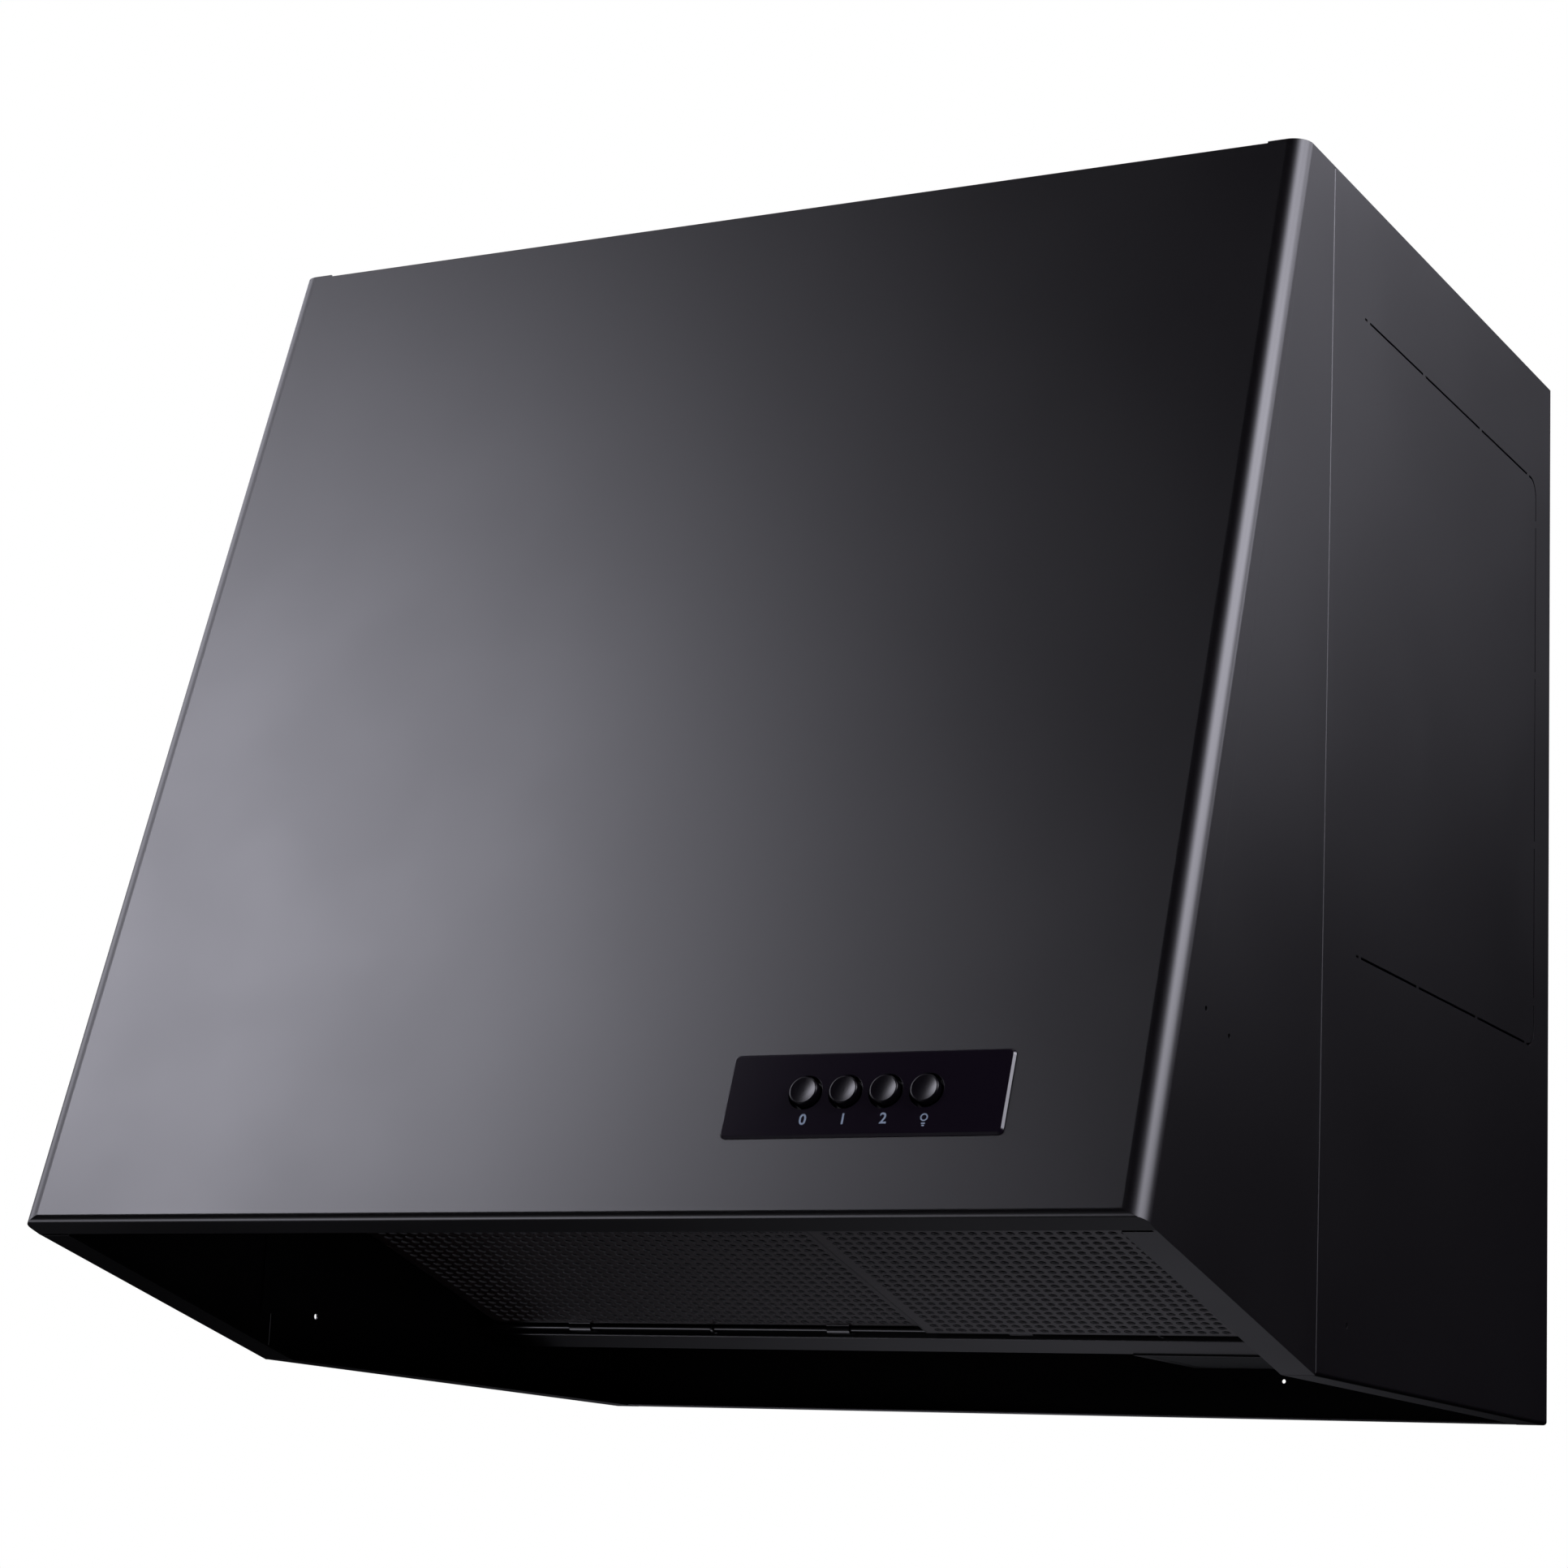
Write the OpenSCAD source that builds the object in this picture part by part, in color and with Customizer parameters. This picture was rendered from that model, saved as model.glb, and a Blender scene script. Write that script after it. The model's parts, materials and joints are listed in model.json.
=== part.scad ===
// Under-cabinet range hood: a slanted front cover on a rear box, with a centrifugal fan,
// two hinged grease filters, a lamp, four push buttons and a duct collar with a damper.
// X runs to the right, Y to the wall and Z up. Y = 0 is the wall and Z = 0 the bottom of the rear box.

/* [Body] */
// Width of the hood
body_w = 600; // [560:10:900]
// Height of the rear box
body_h = 605; // [580:5:730]
// Depth of the rear box, from the wall to the seam
box_d = 381; // [340:1:400]
// Distance from the wall to the top edge of the front face
top_d = 424; // [415:1:500]
// Distance from the wall to the bottom edge of the front face
front_d = 600; // [580:5:720]
// Height of the bottom edge of the front face
front_z = 52; // [45:1:75]
// Thickness of the sheet steel
sheet = 1; // [0.8:0.1:1.4]
// Outer bend radius of the cover's upright corners
corner_r = 10; // [6:0.5:14]
// Outer bend radius between the front face and its lip
lip_r = 3; // [2:0.5:5]
// Width of the lip under the front face
lip_w = 17; // [12:1:24]
// Width of the flanges along the bottom of the sides
flange_w = 17; // [10:1:20]
// Slot between the lip and the side flanges
lip_slot = 2.2; // [1:0.2:4]
// Gap at the seam between the cover and the rear box
seam_gap = 0.6; // [0.4:0.1:1.5]

/* [Knock-outs] */
// Height of the lower cut of the side knock-outs
knock_low = 209; // [150:1:260]
// Height of the upper cut of the side knock-outs
knock_high = 540; // [480:1:560]
// Distance from the wall to the rear cut
knock_rear = 29; // [20:1:60]
// Distance from the wall to the front ends of the cuts
knock_front = 342; // [300:1:360]
// Width of the cuts
cut_w = 1.3; // [0.6:0.1:2]
// Length of the nibs that hold the knock-outs
nib = 4; // [2:0.5:8]

/* [Filters] */
// Slope of the filters, down towards the wall
filter_slope = 14.8; // [10:0.2:18]
// Length of a filter along its slope
filter_len = 300; // [240:5:320]
// Thickness of a filter
filter_t = 9; // [6:0.5:12]
// Distance from the wall to the rear ends of the filters
filter_d = 178; // [174:1:190]
// Height of the right filter's rear end
filter_z = 33.8; // [30:0.2:38]
// How much higher the left filter lies than the right one
filter_step = 3.8; // [0:0.2:5]
// Free width between a filter and the side wall
filter_side = 19; // [18.5:0.5:30]
// Flat border round the perforated field
filter_border = 5; // [4:0.5:10]
// Diameter of the filter's holes
hole_d = 9.4; // [4:0.2:10]
// Pitch of the filter's holes
hole_pitch = 14; // [12:0.5:24]
// Diameter of the rod that the filters hook on
rod_d = 3; // [2.5:0.5:4]

/* [Fan] */
// Outer diameter of the impeller
wheel_d = 210; // [180:5:220]
// Length of the impeller's blades
wheel_w = 112; // [80:2:116]
// Number of blades
blade_n = 40; // [24:1:48]
// Radial depth of the blades
blade_depth = 21; // [14:1:24]
// Thickness of the blades
blade_t = 0.8; // [0.6:0.1:1.2]
// Gap between the impeller and the tongue of the scroll
tongue_gap = 9; // [8:0.5:16]
// Growth of the scroll's radius at each quarter turn
scroll_step = 20; // [12:1:22]
// Axial length of the scroll
scroll_w = 150; // [140:1:156]
// Distance from the wall to the back of the scroll
scroll_d = 14; // [10:1:18]
// Height of the fan's axis
fan_z = 330; // [310:5:345]
// Diameter of the motor
motor_d = 96; // [80:2:98]
// Length of the motor
motor_l = 49; // [40:1:52]
// Diameter of the motor's shaft
shaft_d = 8; // [6:1:10]

/* [Duct] */
// Outer diameter of the duct collar
duct_d = 147; // [120:1:147]
// Height of the duct collar
duct_h = 45; // [35:1:60]
// Distance from the collar's axis to the damper's pin
damper_offset = 12; // [6:1:20]
// Diameter of the damper's pin
pin_d = 4; // [3:0.5:5]

/* [Switch] */
// Distance of the switch plate's centre from the middle of the hood
switch_x = 158; // [-150:1:158]
// Height of the switch plate's centre up the front face
switch_up = 59; // [56:1:120]
// Width of the switch plate
plate_w = 141.5; // [130:0.5:180]
// Height of the switch plate
plate_h = 42; // [40:0.5:50]
// Thickness of the switch plate in front of the face
plate_t = 1.5; // [1.3:0.1:2]
// Distance between neighbouring buttons
button_pitch = 20.2; // [19:0.1:26]
// Diameter of the holes round the buttons
button_hole_d = 17; // [15:0.1:18]
// Diameter of the buttons
button_d = 13.8; // [12:0.1:14]
// How far the buttons' rims stand out of their plate
button_out = 3; // [1.5:0.1:6]
// Radius of the hollow in a button's top
dish_r = 40; // [20:1:80]
// How far the buttons go in
button_travel = 3; // [2:0.1:4]

/* [Lamp] */
// Distance of the lamp housing's left side from the middle of the hood
lamp_x = 112; // [90:1:130]
// Width of the lamp housing
lamp_w = 124; // [110:1:130]
// Depth of the lamp housing
lamp_depth = 92; // [80:1:110]
// Height of the lamp housing's rim
lamp_z = 25; // [18:1:28]
// Diameter of the bulb
bulb_d = 35; // [30:1:38]

/* [Fixings] */
// Distance between the fixing holes, left to right
fix_w = 480; // [400:5:500]
// Distance of the front fixing holes in the top from the wall
fix_front = 330; // [280:5:335]
// Distance of the rear fixing holes in the top from the wall
fix_rear = 50; // [40:5:80]
// Height of the lower fixing holes in the back
fix_low = 130; // [125:5:160]
// Height of the hanging keyholes in the back
fix_high = 560; // [530:5:565]
// Diameter of the fixing holes
fix_d = 6.5; // [5:0.5:8]

/* [Hidden] */
$fn = 96;

// Clearances
seat_gap = 0.1;
running_gap = 0.05;
move_gap = 0.3;
cut_extra = 1;

// Colours
steel_black = "#2b2c31";
zinc_grey = "#8d9093";
galvanised = "#a9acae";
gloss_black = "#14121d";
rubber_black = "#1a1a1b";
resin_white = "#d9d6cc";
copper_red = "#a8653a";

// Body
half_w = body_w / 2;
face_a = atan((front_d - top_d) / (body_h - front_z));
seam_d = box_d + seam_gap / 2;
reach = body_h + front_d;
lip_end = face_point(lip_w, 0);
flange_slope = lip_end[1] / (-lip_end[0] - box_d);
edge_r = min(0.9, sheet);
top_notch = 20;
top_flange = 14;
top_drop = 1;

inner_w = half_w - sheet - seat_gap;
back_flange = 14;
nib_shares = [-0.45, -0.16, 0.16, 0.45];
side_hole_d = 3.2;
side_hole = [-(box_d - 43), 27];
back_hole_d = 2.4;
back_hole = [145, 22];
side_pricks = [[-532, 151], [-503, 143]];
prick_d = 2.6;
relief_low = 71;
relief_high = 110;
relief_in = 1;
strip_end = 25;
strip_lap = 14;
strip_root = 10;
beam_step = 14;
beam_lap = 28;
beam_web = 22;
cover_screw_x = [-0.4, 0, 0.4] * body_w;
cover_screw_y = -top_d + 11;
grommet_at = [half_w - 80, -60];
grommet_r = 11;

// Rear deck and its rail
rail_edge = filter_d - 8.5;
rail_w = 19.5;
rail_rear = rail_edge - rail_w;
rail_z = filter_z - (filter_d - rail_edge) * tan(filter_slope);
rail_up = 4;
deck_z = 90;

// Filters
rod_at = [-(filter_d - 4), filter_z + 2.2];
filter_w = half_w - filter_side;
ledge_h = 4;
ledge_z = filter_t + filter_step + move_gap;
ledge_flange = 14;
ledge_pass_low = filter_z + (box_d - strip_lap - filter_d) * tan(filter_slope) + filter_t - 1;
ledge_pass_high = filter_z + filter_step + (seam_d + strip_root - filter_d) * tan(filter_slope)
  + (filter_t + ledge_flange) / cos(filter_slope) + 3;
hook_w = 14;
filter_gap = 0.5;
tab_x = [-1, -0.5, 0.5, 1] * (filter_w - 6);
magnet_w = 24;

// Fan, drawn in a frame with its axis along local Z, away from the wall
wheel_r = wheel_d / 2;
wheel_back = scroll_d + 24;
wheel_front = wheel_back + wheel_w;
wheel_t = 1;
rim_lap = 1;
rim_out = wheel_r + rim_lap / 2;
scroll_r = wheel_r + tongue_gap;
scroll_right = scroll_step / 2 + scroll_r + 3 * scroll_step;
throat_w = duct_d + 1;
throat_left = scroll_right - throat_w;
fan_x = -(scroll_right - throat_w / 2);
scroll_flange = 8;
scroll_top = body_h - sheet - seat_gap - fan_z;
eye_r = wheel_r - blade_depth - 8;
flare_r = 13;
flare_lip = 5;
tongue_r = 5;
tongue_at = let (x = throat_left - tongue_r, dx = x + scroll_step / 2)
  [x, scroll_step / 2 + sqrt(pow(scroll_r + tongue_r, 2) - dx * dx)];
orifice_rim = scroll_flange / 2 + 0.5;
// Screw points on the scroll's flange: round the spiral and up the throat
orifice_points = let (s = scroll_step / 2, r = scroll_r + orifice_rim) [
  [-s, s + r - 0.3], [-s - r - scroll_step, -s], [s, -s - r - 2 * scroll_step],
  [s + r + 3 * scroll_step, s], [scroll_right + orifice_rim, scroll_top - 30],
  [throat_left - orifice_rim, scroll_top - 30]
];
motor_angles = [90, 210, 330];
motor_ear_r = motor_d / 2 + 10;
dome_r = motor_d / 2 + 8;
motor_back = scroll_d + sheet + 4;
motor_front = motor_back + motor_l;
hub_r = 14;
hub_back = motor_front + 8;
hub_front = hub_back + 16;
bearing_r = 11;
bearing_w = 7;
case_wall = 3;
case_round = 6;
ear_r = 7;
ear_t = 2;
neck_r = 4;
bush_t = 4.9;
bush_l = 9;
rotor_r = 24;
core_back = motor_back + 13;
core_l = motor_l - bearing_w - 20;
screw_r = 2;
small_screw_r = 1.5;

// Duct collar and damper
duct_y = -(scroll_d + scroll_w / 2);
duct_r = duct_d / 2;
duct_wall = 1;
collar_r = duct_r + 14;
collar_screw_r = duct_r + 7;
collar_angles = [45, 135, 225, 315];
flap_z = body_h + 22;
flap_r = duct_r - duct_wall - 0.9;
pin_y = duct_y - damper_offset;
knuckle_r = pin_d / 2 + 1.3;
knuckle_w = 110;
bush_w = 3;

// Switch
plate_r = 3;
plate_edge = 1.1;
plate_lap = 4;
button_rise = 1;
rim_r = 0.7;
shoulder_w = 1.5;
stem_l = 17;
cap_in = 4;
guide_in = cap_in + button_travel + 1;
stem_r = 3;
body_in = 30;
pocket_in = 16;
switch_body_w = 3 * button_pitch + 30;
switch_body_h = 30;

// Lamp and the parts on the deck
lamp_front = -rail_rear + sheet / 2 + seat_gap;
lamp_top = deck_z - sheet / 2 - seat_gap;
lamp_low = [lamp_x, lamp_front, lamp_z];
lamp_high = [lamp_x + lamp_w, lamp_front + lamp_depth, lamp_top];
lamp_rim = 6;
bulb_z = lamp_z + 12 + bulb_d / 2;
deck_top = deck_z + sheet / 2 + seat_gap;
box_low = [half_w - 150, -rail_rear + 25, deck_top];
box_size = [80, 60, 32];
box_wall = 1.5;
entry_r = 5;
entry_z = 14;
block_at = [18, 20, 1];
block_size = [44, 18, 14];
lid_t = 1.2;
cap_low = [box_low[0] - 70, -rail_rear + 30, deck_top];
cap_size = [46, 22, 32];
cap_tag = [4, 0.8, 8];

// ---- Shared shapes ----

function unit(v) = v / norm(v);
function left_of(v) = [-v[1], v[0]];

// Corner i of a folded strip's edge that lies s to the left of the strip's middle line
function mitre(p, i, s) =
  let (
    last = len(p) - 1,
    before = left_of(unit(p[max(i, 1)] - p[max(i, 1) - 1])),
    after = left_of(unit(p[min(i, last - 1) + 1] - p[min(i, last - 1)]))
  )
  p[i] + s * (before + after) / (1 + before * after);

// A point given by its depth behind the front face and its height up the face, as [y, z]
function face_point(depth, up) =
  [-front_d + depth * cos(face_a) + up * sin(face_a), front_z - depth * sin(face_a) + up * cos(face_a)];

// A point of the right filter's frame, as [y, z]: along runs to the wall, rise is square to the filter
function filter_point(along, rise) =
  [-filter_d + along * cos(filter_slope) + rise * sin(filter_slope),
   filter_z - along * sin(filter_slope) + rise * cos(filter_slope)];

// Side view of a strip of sheet metal folded along the points p
module fold(p, t = sheet) {
  last = len(p) - 1;
  polygon(concat([for (i = [0:last]) mitre(p, i, t / 2)], [for (i = [last:-1:0]) mitre(p, i, -t / 2)]));
}

// Extrudes a drawing of Y and Z along X, centred
module along_x(w) {
  rotate([90, 0, 90]) linear_extrude(w, center = true) children();
}

module box_between(low, high) {
  translate(low) cube(high - low);
}

module rounded_rect(w, h, r) {
  square([w - 2 * r, h], center = true);
  square([w, h - 2 * r], center = true);
  for (x = [-1, 1], y = [-1, 1]) translate([x * (w / 2 - r), y * (h / 2 - r)]) circle(r);
}

module ring(r_out, r_in, h) {
  difference() {
    cylinder(r = r_out, h = h);
    translate([0, 0, -cut_extra]) cylinder(r = r_in, h = h + 2 * cut_extra);
  }
}

// Side view of sheet metal bent square with a round bend at the origin corner
module bent_angle(up, out, t = sheet, r = 2 * sheet) {
  translate([0, r]) square([t, up - r]);
  translate([r, 0]) square([out - r, t]);
  intersection() {
    translate([r, r]) difference() {
      circle(r);
      circle(r - t);
    }
    square(r);
  }
}

// Pan-head screw, with its head's underside at Z = 0 and its shank down
module screw(r, l) {
  difference() {
    union() {
      cylinder(r = 2 * r, h = 0.9 * r);
      translate([0, 0, -l]) cylinder(r = r, h = l + 0.1);
    }
    for (a = [0, 90]) rotate(a) translate([-1.1 * r, -0.25 * r, 0.35 * r]) cube([2.2 * r, 0.5 * r, r]);
  }
}

module face_frame() {
  translate([0, -front_d, front_z]) rotate([-face_a, 0, 0]) children();
}

module filter_frame(step = 0) {
  translate([0, -filter_d, filter_z + step]) rotate([-filter_slope, 0, 0]) children();
}

module fan_frame() {
  translate([fan_x, 0, fan_z]) rotate([90, 0, 0]) children();
}

// Local Z points into the hood at button i
module button_frame(i) {
  face_frame() translate([switch_x + (i - 1.5) * button_pitch, 0, switch_up + button_rise])
    rotate([-90, 0, 0]) children();
}

module both_sides() {
  children();
  mirror([1, 0, 0]) children();
}

// ---- Rear box ----

// The three-sided cut of a side knock-out, in Y and Z, with its nibs left standing
module knock_cut() {
  r = corner_r;
  mid = [-(knock_rear + knock_front) / 2, (knock_low + knock_high) / 2];
  w = knock_front - knock_rear;
  h = knock_high - knock_low;
  difference() {
    translate(mid) difference() {
      rounded_rect(w + cut_w, h + cut_w, r + cut_w / 2);
      rounded_rect(w - cut_w, h - cut_w, r - cut_w / 2);
    }
    // The front edge isn't cut
    translate([-knock_front - 2 * r, knock_low - r]) square([3 * r, h + 2 * r]);
    for (s = nib_shares) {
      translate([mid[0] + s * w - nib / 2, knock_low - r]) square([nib, h + 2 * r]);
      translate([-knock_rear - r, mid[1] + s * (h - 2 * r) - nib / 2]) square([2 * r, nib]);
    }
  }
}

module side_panel() {
  difference() {
    translate([half_w, 0, 0]) rotate([90, 0, 0]) mirror([1, 0, 0])
      linear_extrude(box_d - seam_gap / 2) bent_angle(body_h - sheet, flange_w);
    translate([half_w - sheet / 2, 0, 0]) along_x(2 * sheet) knock_cut();
    translate([half_w, side_hole[0], side_hole[1]]) rotate([0, 90, 0])
      cylinder(d = side_hole_d, h = 4 * sheet, center = true);
    // Round front edge along the seam
    translate([half_w - edge_r, edge_r + seam_gap / 2 - box_d, -cut_extra])
      linear_extrude(body_h + 2 * cut_extra) difference() {
        translate([0, -2 * edge_r]) square(2 * edge_r);
        circle(edge_r);
      }
  }
}

module left_side_panel() {
  color(steel_black) mirror([1, 0, 0]) side_panel();
}

module right_side_panel() {
  color(steel_black) side_panel();
}

module back_panel() {
  top = body_h - sheet - seat_gap;
  low = 2 * sheet + seat_gap;
  color(steel_black) difference() {
    union() {
      mirror([0, 1, 0]) along_x(2 * (half_w - flange_w - move_gap)) bent_angle(top, back_flange);
      both_sides() {
        box_between([half_w - flange_w - 1, -sheet, sheet + seat_gap], [inner_w - sheet, 0, top]);
        box_between([inner_w - 2 * sheet, -sheet, low], [inner_w, 0, top]);
        box_between([inner_w - sheet, -back_flange, low], [inner_w, -sheet / 2, top]);
      }
    }
    both_sides() {
      translate([fix_w / 2, 0, fix_low]) rotate([90, 0, 0]) cylinder(d = fix_d, h = 4 * sheet, center = true);
      // Keyhole: a round entry with a slot above it
      translate([fix_w / 2, 0, fix_high]) rotate([90, 0, 0]) linear_extrude(4 * sheet, center = true) {
        circle(d = 2 * fix_d);
        translate([-fix_d / 2, 0]) square([fix_d, 2 * fix_d]);
        translate([0, 2 * fix_d]) circle(d = fix_d);
      }
    }
    translate([back_hole[0], 0, back_hole[1]]) rotate([90, 0, 0])
      cylinder(d = back_hole_d, h = 4 * sheet, center = true);
  }
}

module top_panel() {
  color(steel_black) difference() {
    union() {
      box_between([-half_w, -(box_d - seam_gap / 2), body_h - sheet], [half_w, 0, body_h]);
      // Flanges that the side panels are welded to
      both_sides() box_between([inner_w - sheet, -fix_front + fix_d, body_h - back_flange],
        [inner_w, -back_flange - sheet, body_h - sheet / 2]);
    }
    translate([0, duct_y, body_h - 2 * sheet]) cylinder(r = duct_r, h = 3 * sheet);
    for (x = [-1, 1], d = [fix_front, fix_rear])
      translate([x * fix_w / 2, -d, body_h - 2 * sheet]) cylinder(d = fix_d, h = 3 * sheet);
    for (a = collar_angles) translate([0, duct_y, body_h - 2 * sheet]) rotate(a)
      translate([collar_screw_r, 0, 0]) cylinder(r = screw_r + running_gap, h = 3 * sheet);
    translate([grommet_at[0], grommet_at[1], body_h - 2 * sheet]) cylinder(r = grommet_r, h = 3 * sheet);
  }
}

module cover_screw_holes() {
  for (x = cover_screw_x) translate([x, cover_screw_y, body_h - 10])
    cylinder(r = screw_r + running_gap, h = 20);
}

// Joggled rail that ties the side panels and carries the cover's top flange
module front_beam() {
  low = body_h - top_drop - 1.5 * sheet;
  high = body_h - 1.5 * sheet;
  color(steel_black) difference() {
    along_x(2 * (half_w - 2 * sheet - 4 * seat_gap)) fold([
      [-top_d + 6, low], [-box_d - beam_step, low], [-box_d - beam_step + 2, high],
      [-box_d + beam_lap, high], [-box_d + beam_lap, high - beam_web]
    ]);
    cover_screw_holes();
  }
}

// ---- Front cover ----

// The cover's filled shape, with every face moved in by inset
module cover_fill(inset) {
  up = inset / cos(atan(flange_slope));
  open = inset > 0 ? 10 : 0;
  rear = seam_d - open;
  intersection() {
    // Slanted front with round upright corners
    face_frame() translate([0, 0, -reach]) linear_extrude(3 * reach) {
      translate([-half_w + inset, corner_r]) square([body_w - 2 * inset, reach]);
      translate([-half_w + corner_r, inset]) square([body_w - 2 * corner_r, corner_r]);
      for (x = [-1, 1]) translate([x * (half_w - corner_r), corner_r]) circle(corner_r - inset);
    }
    // Front face and lip with the round bend between them
    face_frame() along_x(body_w + 2) {
      translate([inset, lip_r]) square(reach);
      translate([lip_r, inset]) square([reach, lip_r]);
      translate([lip_r, lip_r]) circle(lip_r - inset);
    }
    // Top, seam and sloping bottom
    along_x(body_w + 4) polygon([
      [-rear, body_h + open], [-reach, body_h + open], [-reach, -reach], [lip_end[0], -reach],
      [lip_end[0], lip_end[1] + up], [-rear, (rear - box_d) * flange_slope + up]
    ]);
  }
}

// A band under the sloping bottom, from the lip's end to y_rear
module bottom_cut(w, y_rear) {
  rise = 1.6 * sheet;
  along_x(w) polygon([
    [lip_end[0], -reach], [y_rear, -reach],
    [y_rear, (-y_rear - box_d) * flange_slope + rise], [lip_end[0], lip_end[1] + rise]
  ]);
}

module front_cover() {
  notch = half_w - top_notch;
  color(steel_black) {
    difference() {
      cover_fill(0);
      cover_fill(sheet);
      bottom_cut(2 * (half_w - flange_w), -seam_d + 10);
      bottom_cut(2 * (half_w - 2 * sheet), lip_end[0] + lip_slot);
      box_between([-notch, -top_d - 10, body_h - top_drop], [notch, -box_d, body_h + 2]);
      face_frame() translate([switch_x, 0, switch_up])
        cube([plate_w - 2 * plate_lap, 6 * sheet, plate_h - 2 * plate_lap], center = true);
      // Small openings in the right side
      for (p = side_pricks) translate([half_w, p[0], p[1]]) rotate([0, 90, 0])
        cylinder(d = prick_d, h = 4 * sheet, center = true);
      // Relief in the edge at the seam
      both_sides() box_between([half_w - 2 * sheet, -seam_d - relief_in, relief_low],
        [half_w + 1, -seam_d + 1, relief_high]);
    }
    difference() {
      intersection() {
        cover_fill(0);
        box_between([-notch, -top_d - 5, body_h - top_drop - sheet],
          [notch, -top_d + top_flange, body_h - top_drop]);
      }
      cover_screw_holes();
    }
    // Strips that slide in behind the side panels, below and above the filter ledges
    both_sides() for (z = [[strip_end, ledge_pass_low], [ledge_pass_high, body_h - strip_end]]) {
      box_between([inner_w - sheet, -seam_d - strip_root, z[0]],
        [half_w - sheet / 2, -seam_d - relief_in, z[1]]);
      box_between([inner_w - sheet, -seam_d - 2 * relief_in, z[0]], [inner_w, -box_d + strip_lap, z[1]]);
    }
  }
}

// ---- Deck, baffle and filter supports ----

module rear_deck() {
  tab_r = rod_d / 2 + 1.1;
  color(steel_black) difference() {
    union() {
      along_x(2 * inner_w) fold([
        [-rail_edge, rail_z + rail_up], [-rail_edge, rail_z],
        [-rail_rear, rail_z - rail_w * tan(filter_slope)], [-rail_rear, deck_z],
        [-1.5 * sheet - seat_gap, deck_z], [-1.5 * sheet - seat_gap, deck_z + 14]
      ]);
      both_sides() box_between([inner_w - sheet, -rail_rear, deck_z],
        [inner_w, -back_flange, deck_z + back_flange]);
      // Tabs that hold the filter rod
      for (x = tab_x) translate([x, 0, 0]) along_x(1.5 * sheet) {
        translate(rod_at) circle(tab_r);
        translate(rod_at - [0, tab_r]) square([-rail_edge - rod_at[0], tab_r]);
      }
    }
    along_x(body_w) translate(rod_at) circle(rod_d / 2 + running_gap);
    // Room for the back panel's side flanges
    both_sides() box_between([inner_w - sheet - seat_gap, -back_flange - seat_gap, deck_z - 2 * sheet],
      [half_w, 1, deck_z + 2 * back_flange]);
  }
}

module filter_rod() {
  color(steel_black) along_x(2 * (filter_w + 4)) translate(rod_at) circle(rod_d / 2);
}

// Closes the space between the filters and the lip, and carries the filters' magnets
module front_baffle() {
  color(steel_black) along_x(2 * (half_w - sheet - 3)) fold([
    filter_point(-filter_len + 24, ledge_z + ledge_h + sheet / 2),
    filter_point(-filter_len - 8, ledge_z + ledge_h + sheet / 2),
    face_point(lip_w - 3, 1.5 * sheet + seat_gap),
    face_point(lip_r + 1, 1.5 * sheet + seat_gap)
  ]);
}

// Angle on a side wall that a filter's edge lies against
module filter_ledge(step) {
  color(steel_black) filter_frame(step) difference() {
    rise = filter_t + move_gap;
    top = ledge_z + ledge_h - step * cos(filter_slope);
    union() {
      box_between([filter_w - 7, -filter_len, rise], [inner_w, -6, rise + sheet]);
      box_between([inner_w - sheet, -filter_len, rise], [inner_w, -6, rise + ledge_flange]);
    }
    box_between([0, -filter_len - 1, top - 2 * seat_gap], [half_w, -filter_len + 30, top + 20]);
  }
}

module left_filter_ledge() {
  mirror([1, 0, 0]) filter_ledge(filter_step);
}

module right_filter_ledge() {
  filter_ledge(0);
}

// Channel over the joint between the filters
module centre_filter_rail() {
  rear = (filter_d - rail_rear - sheet / 2 - seat_gap) / cos(filter_slope)
    - (ledge_z + ledge_h) * tan(filter_slope);
  color(steel_black) filter_frame() translate([0, rear, 0]) rotate([90, 0, 0])
    linear_extrude(filter_len + rear + 4) fold([
      [-12, ledge_z + ledge_h - seat_gap], [-12, ledge_z + sheet / 2],
      [12, ledge_z + sheet / 2], [12, ledge_z + ledge_h - seat_gap]
    ]);
}

module filter_magnets() {
  drop = filter_step * cos(filter_slope);
  color(rubber_black) filter_frame() for (x = [0.3, 0.7] * filter_w) {
    translate([-x - magnet_w / 2, -filter_len + 2, ledge_z])
      cube([magnet_w, 12, ledge_h - seat_gap]);
    translate([x - magnet_w / 2, -filter_len + 2, ledge_z - drop])
      cube([magnet_w, 12, ledge_h + drop - seat_gap]);
  }
}

// Frame of a filter: a tray with a folded rim, two hooks and a finger tab, from x = gap outwards
module filter_tray(step, gap) {
  w = filter_w - gap;
  color(steel_black) {
    filter_frame(step) translate([gap, -filter_len, 0]) difference() {
      cube([w, filter_len, filter_t]);
      translate([sheet, sheet, -cut_extra])
        cube([w - 2 * sheet, filter_len - 2 * sheet, sheet + seat_gap + cut_extra]);
      translate([sheet, sheet, 2 * sheet + seat_gap]) cube([w - 2 * sheet, filter_len - 2 * sheet, filter_t]);
      translate([filter_border, filter_border, 0])
        cube([w - 2 * filter_border, filter_len - 2 * filter_border, filter_t]);
    }
    // Finger tab under the front wall
    filter_frame(step) translate([gap + w / 2, -filter_len, 0]) along_x(36)
      fold([[0.5, 0.5], [0.5, -8], [6, -10]]);
    // Hooks round the rod
    for (x = [0.2, 0.8] * filter_w) translate([x, 0, 0]) along_x(hook_w) difference() {
      union() {
        translate(rod_at) circle(rod_d / 2 + 1.3);
        fold([rod_at, filter_point(-sheet / 2, 2) + [0, step]], 1.4);
      }
      translate(rod_at) circle(rod_d / 2 + running_gap);
      translate(rod_at) rotate(-20) translate([0, -0.6]) square([4, 1.2]);
    }
  }
}

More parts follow.
